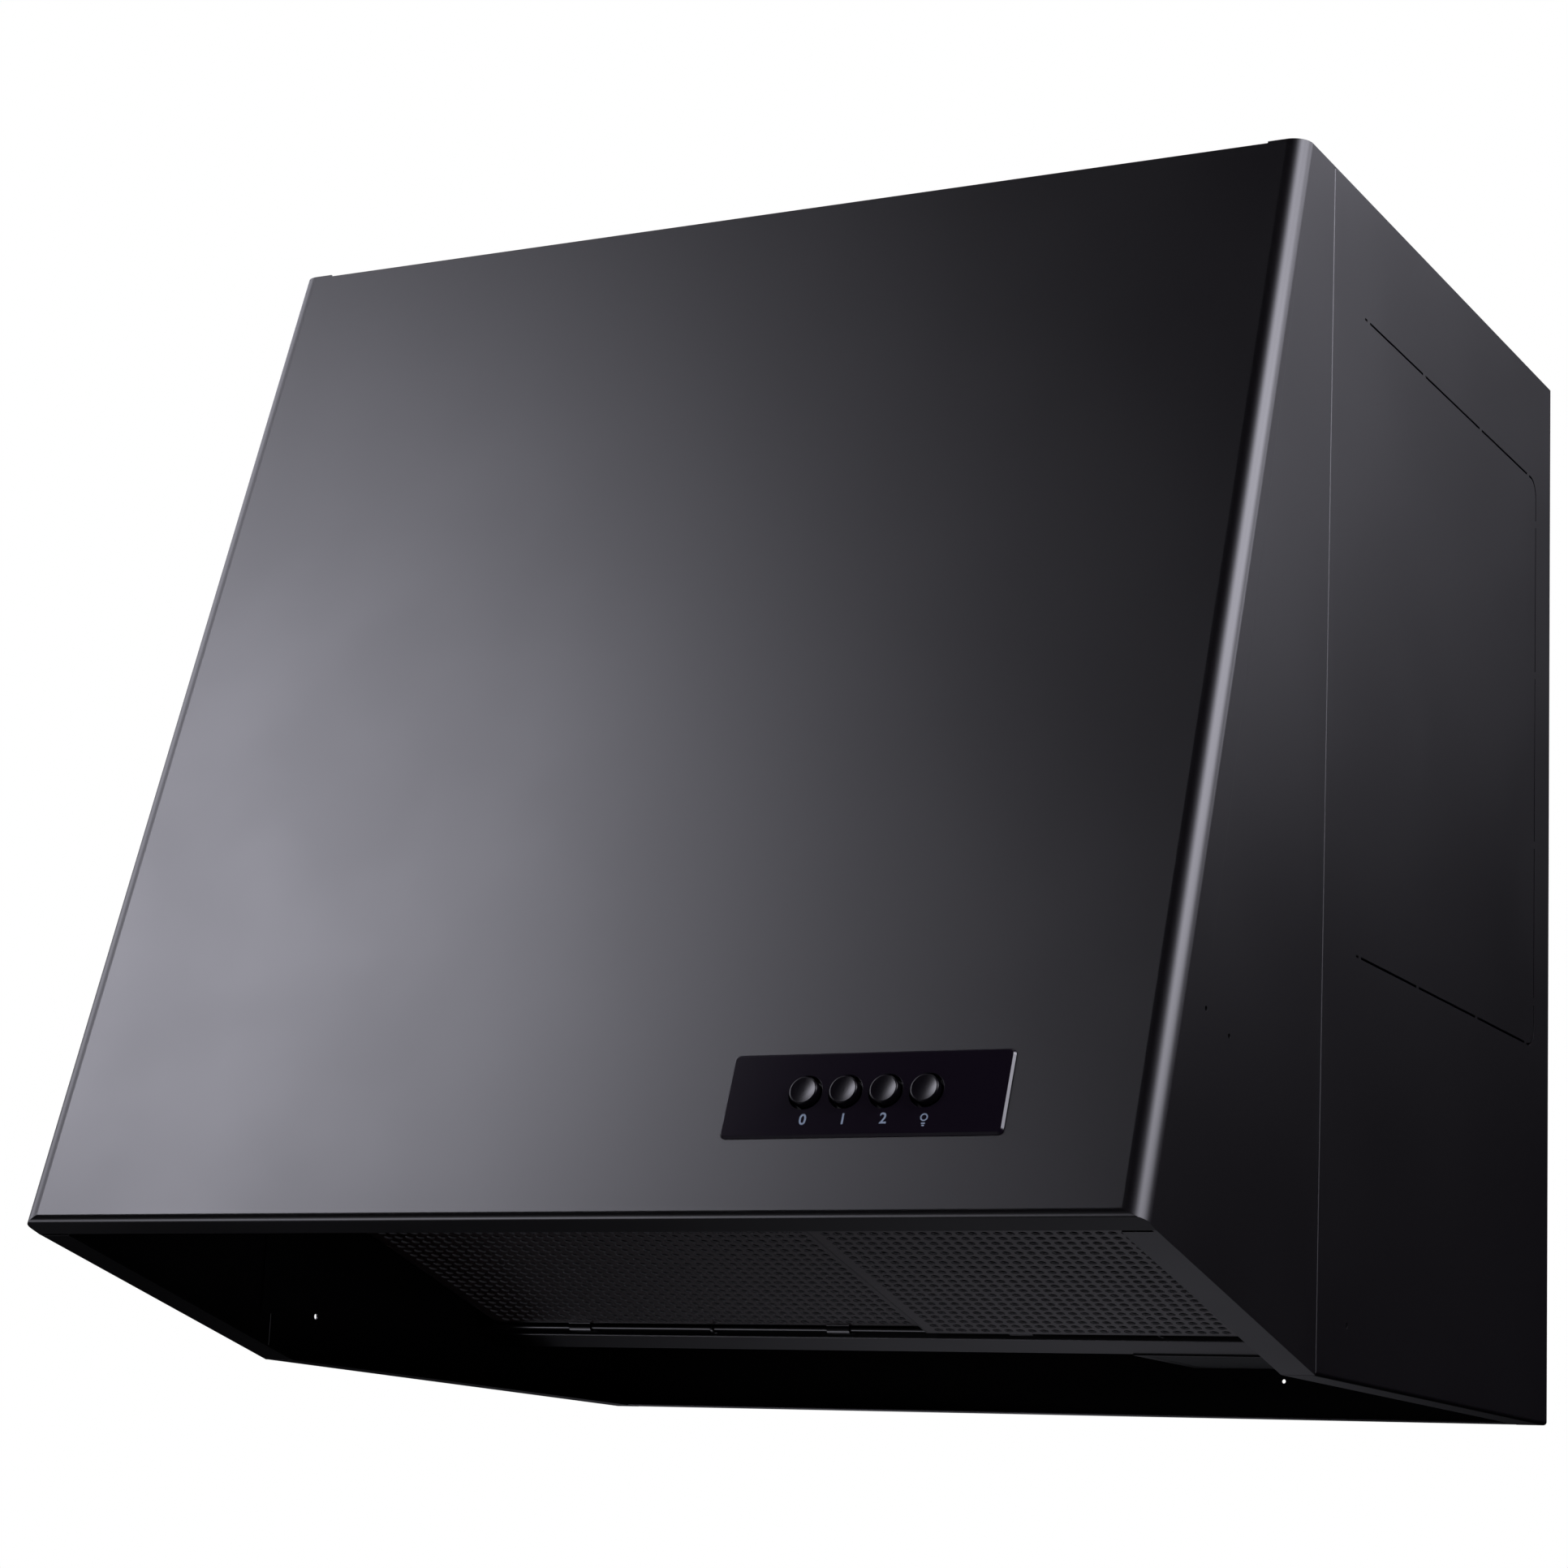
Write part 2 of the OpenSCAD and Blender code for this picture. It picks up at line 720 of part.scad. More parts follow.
// Perforated sheet, flush with the walls under the tray's lip
module filter_screen(step, gap) {
  w = filter_w - gap;
  field = [w - 2 * filter_border - 4, filter_len - 2 * filter_border - 4];
  n = [floor((field[0] - hole_d) / hole_pitch), floor((field[1] - hole_d) / hole_pitch)];
  color(zinc_grey) filter_frame(step) translate([gap + w / 2, -filter_len / 2, 0])
    linear_extrude(sheet) difference() {
      square([w - 2 * sheet - 2 * seat_gap, filter_len - 2 * sheet - 2 * seat_gap], center = true);
      for (i = [0:n[0]], j = [0:n[1]])
        translate([(i - n[0] / 2) * hole_pitch, (j - n[1] / 2) * hole_pitch]) circle(d = hole_d);
    }
}

module left_filter() {
  mirror([1, 0, 0]) filter_tray(filter_step, filter_gap);
}

module right_filter() {
  filter_tray(0, 0);
}

module left_filter_screen() {
  mirror([1, 0, 0]) filter_screen(filter_step, filter_gap);
}

module right_filter_screen() {
  filter_screen(0, 0);
}

// ---- Fan ----

// Quarter disc: sx and sy say which way it lies from its centre
module quarter_disc(centre, r, sx, sy) {
  translate(centre) intersection() {
    circle(r);
    translate([sx < 0 ? -2 * r : 0, sy < 0 ? -2 * r : 0]) square(2 * r);
  }
}

// Spiral of four quarter arcs and the upright throat, with the walls moved out by grow
module scroll_shape(grow) {
  s = scroll_step / 2;
  r = scroll_r + grow;
  quarter_disc([-s, s], r, 1, 1);
  quarter_disc([-s, -s], r + scroll_step, -1, 1);
  quarter_disc([s, -s], r + 2 * scroll_step, -1, -1);
  quarter_disc([s, s], r + 3 * scroll_step, 1, -1);
  square(2 * s, center = true);
  translate([throat_left - grow, s]) square([throat_w + 2 * grow, scroll_top - s]);
}

// The air space of the scroll, with a round tongue
module scroll_air() {
  from_tongue = unit([-scroll_step / 2, scroll_step / 2] - tongue_at);
  difference() {
    union() {
      scroll_shape(0);
      polygon([tongue_at, tongue_at + [tongue_r, 0], [throat_left + 1, tongue_at[1] - 3 * tongue_r],
               tongue_at + from_tongue * (tongue_r + 1)]);
    }
    translate(tongue_at) circle(tongue_r);
  }
}

module orifice_screw_holes() {
  for (p = orifice_points) translate([p[0], p[1], 0])
    cylinder(r = small_screw_r + running_gap, h = scroll_d + scroll_w + 1);
}

module scroll_case() {
  color(galvanised) fan_frame() difference() {
    union() {
      translate([0, 0, scroll_d]) linear_extrude(sheet) scroll_shape(scroll_flange);
      translate([0, 0, scroll_d]) linear_extrude(scroll_w - sheet) difference() {
        union() {
          scroll_shape(sheet);
          translate(tongue_at) circle(tongue_r);
        }
        scroll_air();
      }
      translate([0, 0, scroll_d + scroll_w - 2 * sheet]) linear_extrude(sheet) difference() {
        scroll_shape(scroll_flange);
        scroll_air();
      }
    }
    translate([0, 0, scroll_d - 1]) cylinder(r = motor_d / 2 - 10, h = sheet + 2);
    for (a = motor_angles) rotate(a) translate([motor_ear_r, 0, scroll_d - 1])
      cylinder(r = screw_r + running_gap, h = sheet + 2);
    orifice_screw_holes();
  }
}

// Front plate of the scroll with the flared inlet
module orifice_plate() {
  front = scroll_d + scroll_w;
  color(galvanised) fan_frame() difference() {
    union() {
      difference() {
        translate([0, 0, front - sheet]) linear_extrude(sheet) scroll_shape(scroll_flange);
        translate([0, 0, front - 2 * sheet]) cylinder(r = eye_r + flare_r - 1, h = 3 * sheet);
      }
      // Flare: a quarter ring from the plate into the wheel, and a short straight lip
      rotate_extrude() {
        translate([eye_r + flare_r, front - flare_r]) intersection() {
          difference() {
            circle(flare_r);
            circle(flare_r - sheet);
          }
          translate([-flare_r, 0]) square(flare_r);
        }
        translate([eye_r, front - flare_r - flare_lip]) square([sheet, flare_lip]);
      }
    }
    orifice_screw_holes();
  }
}

// Forward-curved blade: part of a ring between its inner end and its outer end
module blade() {
  inner = [wheel_r - blade_depth, 0];
  outer = (wheel_r - 0.5) * [cos(6), sin(6)];
  bow = 0.76 * blade_depth;
  chord = outer - inner;
  centre = (inner + outer) / 2 + left_of(unit(chord)) * sqrt(bow * bow - pow(norm(chord) / 2, 2));
  intersection() {
    translate(centre) difference() {
      circle(bow + blade_t / 2);
      circle(bow - blade_t / 2);
    }
    polygon([centre, centre + 3 * (inner - centre), centre + 3 * (outer - centre)]);
  }
}

module impeller() {
  color(galvanised) fan_frame() {
    // Drawn up into a dome over the motor
    rotate_extrude() fold([
      [rim_out, wheel_back + wheel_t / 2], [dome_r + 4, wheel_back + wheel_t / 2],
      [dome_r, wheel_back + 5], [dome_r, motor_front - 4], [dome_r - 11, hub_back],
      [hub_r - 2, hub_back + 3]
    ], wheel_t);
    translate([0, 0, hub_back]) ring(hub_r, shaft_d / 2 + running_gap, hub_front - hub_back);
  }
}

// Blades between the back disc and the front ring
module impeller_blades() {
  color(galvanised) fan_frame() translate([0, 0, wheel_back + wheel_t])
    for (i = [0:blade_n - 1]) rotate(i * 360 / blade_n) linear_extrude(wheel_w - 2 * wheel_t) blade();
}

module impeller_ring() {
  color(galvanised) fan_frame() translate([0, 0, wheel_front - wheel_t])
    ring(rim_out, wheel_r - blade_depth - rim_lap, wheel_t);
}

module impeller_nut() {
  color(resin_white) fan_frame() translate([0, 0, hub_front + seat_gap]) difference() {
    union() {
      cylinder(r = hub_r - 1, h = 5);
      cylinder(r = hub_r - 4, h = 14);
      for (a = [0:60:300]) rotate(a) translate([hub_r - 4, 0, 0]) cylinder(r = 3, h = 12);
    }
    translate([0, 0, -1]) cylinder(r = shaft_d / 2 + running_gap, h = 11);
  }
}

module motor_housing() {
  r = motor_d / 2;
  case_back = motor_back + 1;
  color(zinc_grey) fan_frame() difference() {
    union() {
      rotate_extrude() difference() {
        union() {
          translate([0, case_back]) square([r, motor_l - 1 - case_round]);
          translate([0, case_back]) square([r - case_round, motor_l - 1]);
          translate([r - case_round, motor_front - case_round]) circle(case_round);
        }
        // Room for the stator and the rotor, and the seats of both bearings
        translate([0, motor_back - 1]) square([r - case_wall, motor_l - bearing_w - case_wall]);
        translate([0, motor_front - bearing_w - 1]) square([bearing_r + running_gap, bearing_w]);
        translate([0, motor_back]) square([shaft_d / 2 + 1, motor_l + 1]);
      }
      // Ears
      for (a = motor_angles) rotate(a) translate([0, 0, case_back]) difference() {
        linear_extrude(ear_t) {
          translate([r - case_wall, -ear_r]) square([motor_ear_r - r + case_wall, 2 * ear_r]);
          translate([motor_ear_r, 0]) circle(ear_r);
        }
        translate([motor_ear_r, 0, -cut_extra]) cylinder(r = neck_r, h = ear_t + 2 * cut_extra);
      }
    }
    // Cooling slots round the front
    for (a = [15:30:345]) rotate(a) translate([r - 22, -1.5, motor_front - 10]) cube([10, 3, 12]);
  }
}

// Rear cap of the motor with the rear bearing's seat
module motor_cap() {
  color(zinc_grey) fan_frame() translate([0, 0, motor_back]) difference() {
    union() {
      cylinder(r = motor_d / 2, h = 1);
      cylinder(r = motor_d / 2 - case_wall - seat_gap, h = 3);
      cylinder(r = bearing_r + 2, h = bearing_w + 2);
    }
    translate([0, 0, 1]) cylinder(r = bearing_r + running_gap, h = bearing_w + 3);
  }
}

module motor_stator() {
  r = motor_d / 2 - case_wall - seat_gap;
  color(copper_red) fan_frame() translate([0, 0, core_back]) difference() {
    cylinder(r = r, h = core_l);
    translate([0, 0, -1]) cylinder(r = rotor_r + 0.5, h = core_l + 2);
    for (i = [0:11]) rotate(i * 30) translate([rotor_r + 3, 0, -1]) cylinder(r = 2.2, h = core_l + 2);
  }
}

module motor_rotor() {
  color(zinc_grey) fan_frame() translate([0, 0, core_back]) ring(rotor_r, shaft_d / 2 + running_gap, core_l);
}

module motor_shaft() {
  color(zinc_grey) fan_frame() translate([0, 0, motor_back + 1.5])
    cylinder(r = shaft_d / 2, h = hub_front + 8 - motor_back - 1.5);
}

module motor_bearings() {
  color(zinc_grey) fan_frame() for (z = [motor_back + 1 + seat_gap, motor_front - bearing_w - 1])
    translate([0, 0, z]) ring(bearing_r, shaft_d / 2 + running_gap, bearing_w - 2 * seat_gap);
}

// Rubber bushes between the motor's ears and the scroll's back
module motor_bushes() {
  color(rubber_black) fan_frame() for (a = motor_angles) rotate(a)
    translate([motor_ear_r, 0, scroll_d + sheet]) difference() {
      union() {
        cylinder(r = ear_r, h = bush_t);
        cylinder(r = neck_r - seat_gap, h = bush_l - 1);
        translate([0, 0, bush_l - 2 + seat_gap]) cylinder(r = ear_r, h = 2);
      }
      translate([0, 0, -1]) cylinder(r = screw_r + running_gap, h = 20);
    }
}

// ---- Duct collar ----

module duct_collar() {
  color(galvanised) translate([0, duct_y, body_h]) difference() {
    union() {
      ring(collar_r, duct_r - duct_wall, duct_wall);
      ring(duct_r, duct_r - duct_wall, duct_h);
      // Stop under the damper's rear part
      intersection() {
        translate([0, 0, flap_z - body_h - 2]) ring(duct_r, duct_r - 5, 1.5);
        box_between([-duct_r, -damper_offset + 10, 0], [duct_r, duct_r, duct_h]);
      }
    }
    for (a = collar_angles) rotate(a) translate([collar_screw_r, 0, -1])
      cylinder(r = screw_r + running_gap, h = 4);
    translate([0, -damper_offset, flap_z - body_h + 0.5]) rotate([0, 90, 0])
      cylinder(r = pin_d / 2 + running_gap, h = 3 * duct_r, center = true);
  }
}

module damper_flap() {
  color(galvanised) translate([0, 0, flap_z]) difference() {
    union() {
      translate([0, duct_y, 0]) cylinder(r = flap_r, h = 1);
      translate([0, pin_y, 0.5]) rotate([0, 90, 0]) cylinder(r = knuckle_r, h = knuckle_w, center = true);
    }
    translate([0, pin_y, 0.5]) rotate([0, 90, 0])
      cylinder(r = pin_d / 2 + running_gap, h = 3 * duct_r, center = true);
    // Room for the bushes at both ends of the knuckle
    for (x = [-1, 1]) translate([x * (duct_r + knuckle_w / 2), pin_y, 0.5])
      cube([2 * duct_r, 2 * knuckle_r + 1, 2 * knuckle_r], center = true);
  }
}

module damper_pin() {
  half = sqrt(pow(duct_r, 2) - pow(damper_offset + pin_d / 2, 2));
  color(zinc_grey) translate([0, pin_y, flap_z + 0.5]) rotate([0, 90, 0])
    cylinder(r = pin_d / 2, h = 2 * half, center = true);
}

module damper_bushes() {
  color(resin_white) both_sides() translate([knuckle_w / 2 + move_gap, pin_y, flap_z + 0.5])
    rotate([0, 90, 0]) ring(knuckle_r, pin_d / 2 + running_gap, bush_w);
}

// ---- Switch ----

module switch_plate() {
  lap = 2 * (plate_lap + move_gap);
  color(gloss_black) difference() {
    union() {
      // Plate with chamfered edges
      face_frame() translate([switch_x, 0, switch_up]) rotate([90, 0, 0]) hull() {
        linear_extrude(plate_t - plate_edge) rounded_rect(plate_w, plate_h, plate_r, $fn = 32);
        linear_extrude(plate_t)
          rounded_rect(plate_w - 2 * plate_edge, plate_h - 2 * plate_edge, plate_r - plate_edge, $fn = 32);
      }
      // Spigot in the face's cut-out
      face_frame() translate([switch_x, -plate_edge / 2, switch_up]) rotate([-90, 0, 0])
        linear_extrude(sheet + 1 + plate_edge / 2) square([plate_w - lap, plate_h - lap], center = true);
    }
    for (i = [0:3]) button_frame(i) translate([0, 0, -5]) cylinder(d = button_hole_d, h = 12);
  }
}

module switch_body() {
  back = sheet + 1 + seat_gap;
  color(rubber_black) difference() {
    union() {
      face_frame() translate([switch_x, back, switch_up + button_rise]) rotate([-90, 0, 0])
        linear_extrude(body_in - back) rounded_rect(switch_body_w, switch_body_h, 2);
      // Terminals
      for (i = [0:3], s = [-1, 1]) button_frame(i) translate([s * 5 - 1.6, -0.4, body_in - 1])
        cube([3.2, 0.8, 9]);
    }
    for (i = [0:3]) button_frame(i) {
      translate([0, 0, -1]) cylinder(d = button_hole_d, h = guide_in + 1);
      cylinder(r = stem_r + 2.5, h = pocket_in);
      cylinder(r = stem_r + running_gap, h = body_in - 3);
    }
  }
}

// Button: a domed cap with a collar and a stem
module push_button(i) {
  r = button_d / 2;
  out = plate_t + button_out;
  flat_r = r - rim_r;
  color(gloss_black) button_frame(i) {
    // Cap with a dished top and a round rim
    rotate_extrude() difference() {
      union() {
        translate([0, rim_r - out]) square([r, out - rim_r + cap_in]);
        translate([0, -out]) square([flat_r, out]);
        translate([flat_r, rim_r - out]) circle(rim_r);
      }
      translate([0, -out - sqrt(dish_r * dish_r - flat_r * flat_r)]) circle(dish_r);
    }
    translate([0, 0, cap_in - shoulder_w]) cylinder(d = button_hole_d - 0.8, h = shoulder_w);
    translate([0, 0, cap_in - 1]) cylinder(r = stem_r, h = stem_l + 1);
  }
}

module off_button() {
  push_button(0);
}

module low_button() {
  push_button(1);
}

module high_button() {
  push_button(2);
}

module lamp_button() {
  push_button(3);
}

// Round wire wound into a coil of radius r and height h
module coil(r, h, wire, turns, steps = 14, sides = 6) {
  n = turns * steps;
  pts = [for (i = [0:n], k = [0:sides - 1])
    let (a = i * 360 / steps, b = k * 360 / sides, q = r + wire * cos(b))
      [q * cos(a), q * sin(a), wire + (h - 2 * wire) * i / n + wire * sin(b)]];
  walls = [for (i = [0:n - 1], k = [0:sides - 1])
    let (a = i * sides + k, b = i * sides + (k + 1) % sides) [a, a + sides, b + sides, b]];
  polyhedron(pts, concat(walls, [[for (k = [0:sides - 1]) k]], [[for (k = [sides - 1:-1:0]) n * sides + k]]));
}

module button_springs() {
  low = cap_in + button_travel + move_gap;
  color(zinc_grey) for (i = [0:3]) button_frame(i) translate([0, 0, low])
    coil(stem_r + 1.2, pocket_in - low - seat_gap, 0.35, 4);
}

// ---- Lamp ----

module lamp_housing() {
  color(steel_black) difference() {
    box_between(lamp_low, lamp_high);
    box_between(lamp_low + [sheet, sheet, sheet], lamp_high - [sheet, sheet, sheet]);
    box_between(lamp_low + [lamp_rim, lamp_rim, -1],
      [lamp_high[0] - lamp_rim, lamp_high[1] - lamp_rim, lamp_z + 5]);
    translate([lamp_high[0], lamp_front + lamp_depth / 2, bulb_z]) rotate([0, 90, 0])
      cylinder(r = 9, h = 4, center = true);
  }
}

// Glass with a raised middle that fills the housing's window
module lamp_lens() {
  lip = lamp_rim + 0.5;
  color([0.9, 0.9, 0.86, 0.6]) {
    box_between(lamp_low + [2, 2, sheet + seat_gap],
      [lamp_high[0] - 2, lamp_high[1] - 2, lamp_z + sheet + 2.5]);
    box_between(lamp_low + [lip, lip, 0], [lamp_high[0] - lip, lamp_high[1] - lip, lamp_z + 2]);
  }
}

module lamp_socket() {
  color(resin_white) translate([lamp_high[0] - sheet - seat_gap, lamp_front + lamp_depth / 2, bulb_z])
    rotate([0, -90, 0]) difference() {
      union() {
        cylinder(r = 15, h = 2);
        cylinder(r = 11.5, h = 24);
      }
      translate([0, 0, 4]) cylinder(r = 8.7, h = 30);
    }
}

module lamp_bulb() {
  r = bulb_d / 2;
  color([1, 0.97, 0.88, 0.7]) translate([lamp_high[0] - sheet - 6, lamp_front + lamp_depth / 2, bulb_z])
    rotate([0, -90, 0]) rotate_extrude() {
      intersection() {
        translate([0, 50]) circle(r);
        translate([0, 50]) square(2 * r);
      }
      polygon([[0, 24], [8, 24], [r, 50], [0, 50]]);
      square([8.5, 24]);
    }
}

// ---- Electrical parts ----

module terminal_box() {
  wall = [box_wall, box_wall, box_wall];
  color(zinc_grey) difference() {
    translate(box_low) cube(box_size);
    translate(box_low + wall) cube(box_size - [2, 2, 0] * box_wall);
    // Cable entries in the left and the rear wall
    translate(box_low + [0, box_size[1] / 2, entry_z]) rotate([0, 90, 0])
      cylinder(r = entry_r, h = 4 * box_wall, center = true);
    translate(box_low + [box_size[0] / 2, box_size[1], entry_z]) rotate([90, 0, 0])
      cylinder(r = entry_r, h = 4 * box_wall, center = true);
  }
  // Terminal block with four screw wells
  color(resin_white) translate(box_low + block_at) difference() {
    cube(block_size);
    for (i = [0.5:3.5]) translate([i * block_size[0] / 4, block_size[1] / 2, block_size[2] / 2])
      cylinder(r = 3, h = block_size[2]);
  }
}

module terminal_lid() {
  top = box_low + [0, 0, box_size[2] + seat_gap];
  tab_in = box_wall + move_gap;
  color(zinc_grey) translate(top) {
    cube([box_size[0], box_size[1], lid_t]);
    for (y = [tab_in, box_size[1] - tab_in - lid_t])
      translate([tab_in, y, -3]) cube([box_size[0] - 2 * tab_in, lid_t, 3 + lid_t / 2]);
  }
}

module capacitor() {
  color(rubber_black) {
    translate(cap_low) cube(cap_size);
    for (x = [0.3, 0.7] * cap_size[0])
      translate(cap_low + [x - cap_tag[0] / 2, (cap_size[1] - cap_tag[1]) / 2, cap_size[2]]) cube(cap_tag);
  }
}

module capacitor_clip() {
  color(zinc_grey) translate(cap_low + [cap_size[0] / 2, 0, 0]) along_x(12) fold([
    [-18, sheet / 2], [-sheet / 2 - seat_gap, sheet / 2], [-sheet / 2 - seat_gap, 24]
  ]);
}

module cable_grommet() {
  color(rubber_black) translate([grommet_at[0], grommet_at[1], body_h - sheet]) difference() {
    union() {
      translate([0, 0, -2.5]) cylinder(r = grommet_r + 3, h = 2.4);
      translate([0, 0, -2.5]) cylinder(r = grommet_r - seat_gap, h = sheet + 5);
      translate([0, 0, sheet + seat_gap]) cylinder(r = grommet_r + 3, h = 2.4);
    }
    translate([0, 0, -10]) cylinder(r = 5, h = 30);
  }
}

// ---- Screws ----

module cover_screws() {
  color(zinc_grey) for (x = cover_screw_x)
    translate([x, cover_screw_y, body_h - top_drop + seat_gap]) screw(screw_r, 8);
}

module orifice_screws() {
  front = scroll_d + scroll_w;
  color(zinc_grey) fan_frame() for (p = orifice_points)
    translate([p[0], p[1], front + seat_gap]) screw(small_screw_r, 7);
}

module collar_screws() {
  color(zinc_grey) for (a = collar_angles) translate([0, duct_y, body_h + duct_wall + seat_gap]) rotate(a)
    translate([collar_screw_r, 0, 0]) screw(screw_r, 7);
}

module motor_screws() {
  head = scroll_d + sheet + bush_l + 2 * seat_gap;
  color(zinc_grey) fan_frame() for (a = motor_angles) rotate(a)
    translate([motor_ear_r, 0, head]) screw(screw_r, 12);
}

back_panel();
left_side_panel();
right_side_panel();
top_panel();
front_beam();
front_cover();
rear_deck();
front_baffle();
left_filter_ledge();
right_filter_ledge();
centre_filter_rail();
filter_rod();
filter_magnets();
left_filter();
right_filter();
left_filter_screen();
right_filter_screen();
scroll_case();
orifice_plate();
impeller();
impeller_blades();
impeller_ring();
impeller_nut();
motor_housing();
motor_cap();
motor_stator();
motor_rotor();
motor_shaft();
motor_bearings();
motor_bushes();
duct_collar();
damper_flap();
damper_pin();
damper_bushes();
switch_plate();
switch_body();
button_springs();
off_button();
low_button();
high_button();
lamp_button();
lamp_housing();
lamp_socket();
lamp_bulb();
lamp_lens();
terminal_box();
terminal_lid();
capacitor();
capacitor_clip();
cable_grommet();
cover_screws();
orifice_screws();
collar_screws();
motor_screws();
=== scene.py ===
import json
import math

import bmesh
import bpy
from mathutils import Matrix, Vector


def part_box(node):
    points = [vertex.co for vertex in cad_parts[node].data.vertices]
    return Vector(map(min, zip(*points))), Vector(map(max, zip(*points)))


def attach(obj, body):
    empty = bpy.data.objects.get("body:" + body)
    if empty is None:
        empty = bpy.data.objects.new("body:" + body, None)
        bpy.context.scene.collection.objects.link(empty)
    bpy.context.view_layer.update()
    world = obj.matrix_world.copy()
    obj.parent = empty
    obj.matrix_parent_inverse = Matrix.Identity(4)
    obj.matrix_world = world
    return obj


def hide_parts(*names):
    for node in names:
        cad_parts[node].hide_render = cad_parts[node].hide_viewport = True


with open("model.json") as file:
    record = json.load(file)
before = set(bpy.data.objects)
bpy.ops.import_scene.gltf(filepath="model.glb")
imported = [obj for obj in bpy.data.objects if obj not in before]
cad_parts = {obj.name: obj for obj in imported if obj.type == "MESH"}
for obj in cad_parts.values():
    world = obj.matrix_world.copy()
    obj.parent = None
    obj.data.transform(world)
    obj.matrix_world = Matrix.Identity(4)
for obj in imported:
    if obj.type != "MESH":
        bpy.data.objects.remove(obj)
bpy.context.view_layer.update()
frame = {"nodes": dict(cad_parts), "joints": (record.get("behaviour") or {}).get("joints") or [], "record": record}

mm = 0.001
nodes = frame["nodes"]
scene = bpy.context.scene
print("frame loaded,", len(nodes), "CAD nodes")


def hexColor(text):
    # sRGB hex to the linear values that shaders use
    parts = [int(text[i:i + 2], 16) / 255 for i in (1, 3, 5)]
    return [p / 12.92 if p <= 0.04045 else ((p + 0.055) / 1.055) ** 2.4 for p in parts] + [1.0]


def addNode(tree, kind, settings=None, links=None):
    # settings: properties by name, inputs by index or by socket name; links: socket -> (node, output)
    node = tree.nodes.new(kind)
    for key, value in (settings or {}).items():
        if isinstance(key, str) and hasattr(node, key):
            setattr(node, key, value)
        else:
            node.inputs[key].default_value = value
    for key, (source, output) in (links or {}).items():
        tree.links.new(source.outputs[output], node.inputs[key])
    return node


def newMaterial(name, settings):
    # a Principled surface with its object coordinates ready to use
    material = bpy.data.materials.new(name)
    material.use_nodes = True
    tree = material.node_tree
    tree.nodes.clear()
    coords = addNode(tree, "ShaderNodeTexCoord")
    surface = addNode(tree, "ShaderNodeBsdfPrincipled", settings)
    addNode(tree, "ShaderNodeOutputMaterial", None, {"Surface": (surface, "BSDF")})
    return material, tree, coords, surface


def ramp(tree, source, stops):
    # stops: (place, colour); the colours are read off a gradient
    node = addNode(tree, "ShaderNodeValToRGB", None, {"Fac": source})
    elements = node.color_ramp.elements
    elements[0].position, elements[0].color = stops[0]
    elements[1].position, elements[1].color = stops[-1]
    for place, colour in stops[1:-1]:
        elements.new(place).color = colour
    return node


def movedVerts(geom):
    return [g for g in geom if isinstance(g, bmesh.types.BMVert)]


def finishMesh(bm, name, material, body):
    # the mesh becomes a piece; body is the moving body it rides on, or None
    mesh = bpy.data.meshes.new(name)
    bm.to_mesh(mesh)
    bm.free()
    mesh.materials.append(material)
    piece = bpy.data.objects.new(name, mesh)
    scene.collection.objects.link(piece)
    if body:
        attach(piece, body)
    return piece


enamel = {
    "color": "#050306",
    "roughness": 0.3,
    "peel": 2.2 * mm,  # width of the orange peel's waves
    "peelDepth": 0.012 * mm,
    "cloud": 9.0,  # soft changes of sheen, this many to the metre
    "edge": 0.18 * mm,  # how far the coat rounds an edge
}


def satinEnamel(name, look):
    # Stove enamel sprayed on steel sheet: near black, satin, with a faint orange peel and rounded edges
    material, tree, coords, surface = newMaterial(name, {
        "Base Color": hexColor(look["color"]), "Roughness": look["roughness"], "IOR": 1.5})
    peel = addNode(tree, "ShaderNodeTexNoise", {"Scale": 1 / look["peel"], "Detail": 1.0},
                   {"Vector": (coords, "Object")})
    cloud = addNode(tree, "ShaderNodeTexNoise", {"Scale": look["cloud"], "Detail": 3.0},
                    {"Vector": (coords, "Object")})
    sheen = addNode(tree, "ShaderNodeMapRange",
                    {"From Min": 0.35, "From Max": 0.65, "To Min": look["roughness"] - 0.01,
                     "To Max": look["roughness"] + 0.01}, {"Value": (cloud, "Fac")})
    tree.links.new(sheen.outputs["Result"], surface.inputs["Roughness"])
    rounded = addNode(tree, "ShaderNodeBevel", {"samples": 4, "Radius": look["edge"]})
    bump = addNode(tree, "ShaderNodeBump", {"Strength": 0.25, "Distance": look["peelDepth"]},
                   {"Height": (peel, "Fac"), "Normal": (rounded, "Normal")})
    tree.links.new(bump.outputs["Normal"], surface.inputs["Normal"])
    return material


def bareEdge(name):
    # Steel where the punch sheared it: torn and rough; its grey is darkened as painted shade, so the holes read as
    # dark openings
    material, tree, coords, surface = newMaterial(name, {"Metallic": 0.4, "Roughness": 0.6})
    tears = addNode(tree, "ShaderNodeTexNoise", {"Scale": 1 / (0.8 * mm), "Detail": 2.0},
                    {"Vector": (coords, "Object")})
    # the tears vary the grey at random, and the whole range is held low as painted shade inside the holes
    tint = ramp(tree, (tears, "Fac"), [(0.35, hexColor("#55555b")), (0.65, hexColor("#6a6a71"))])
    tree.links.new(tint.outputs["Color"], surface.inputs["Base Color"])
    return material


zinc = {
    "dull": "#8d9296",
    "bright": "#b4babd",
    "spangle": 14 * mm,  # width of the zinc crystals
    "glossiest": 0.34,  # roughness of the brightest and of the dullest crystal
    "dullest": 0.52,
}


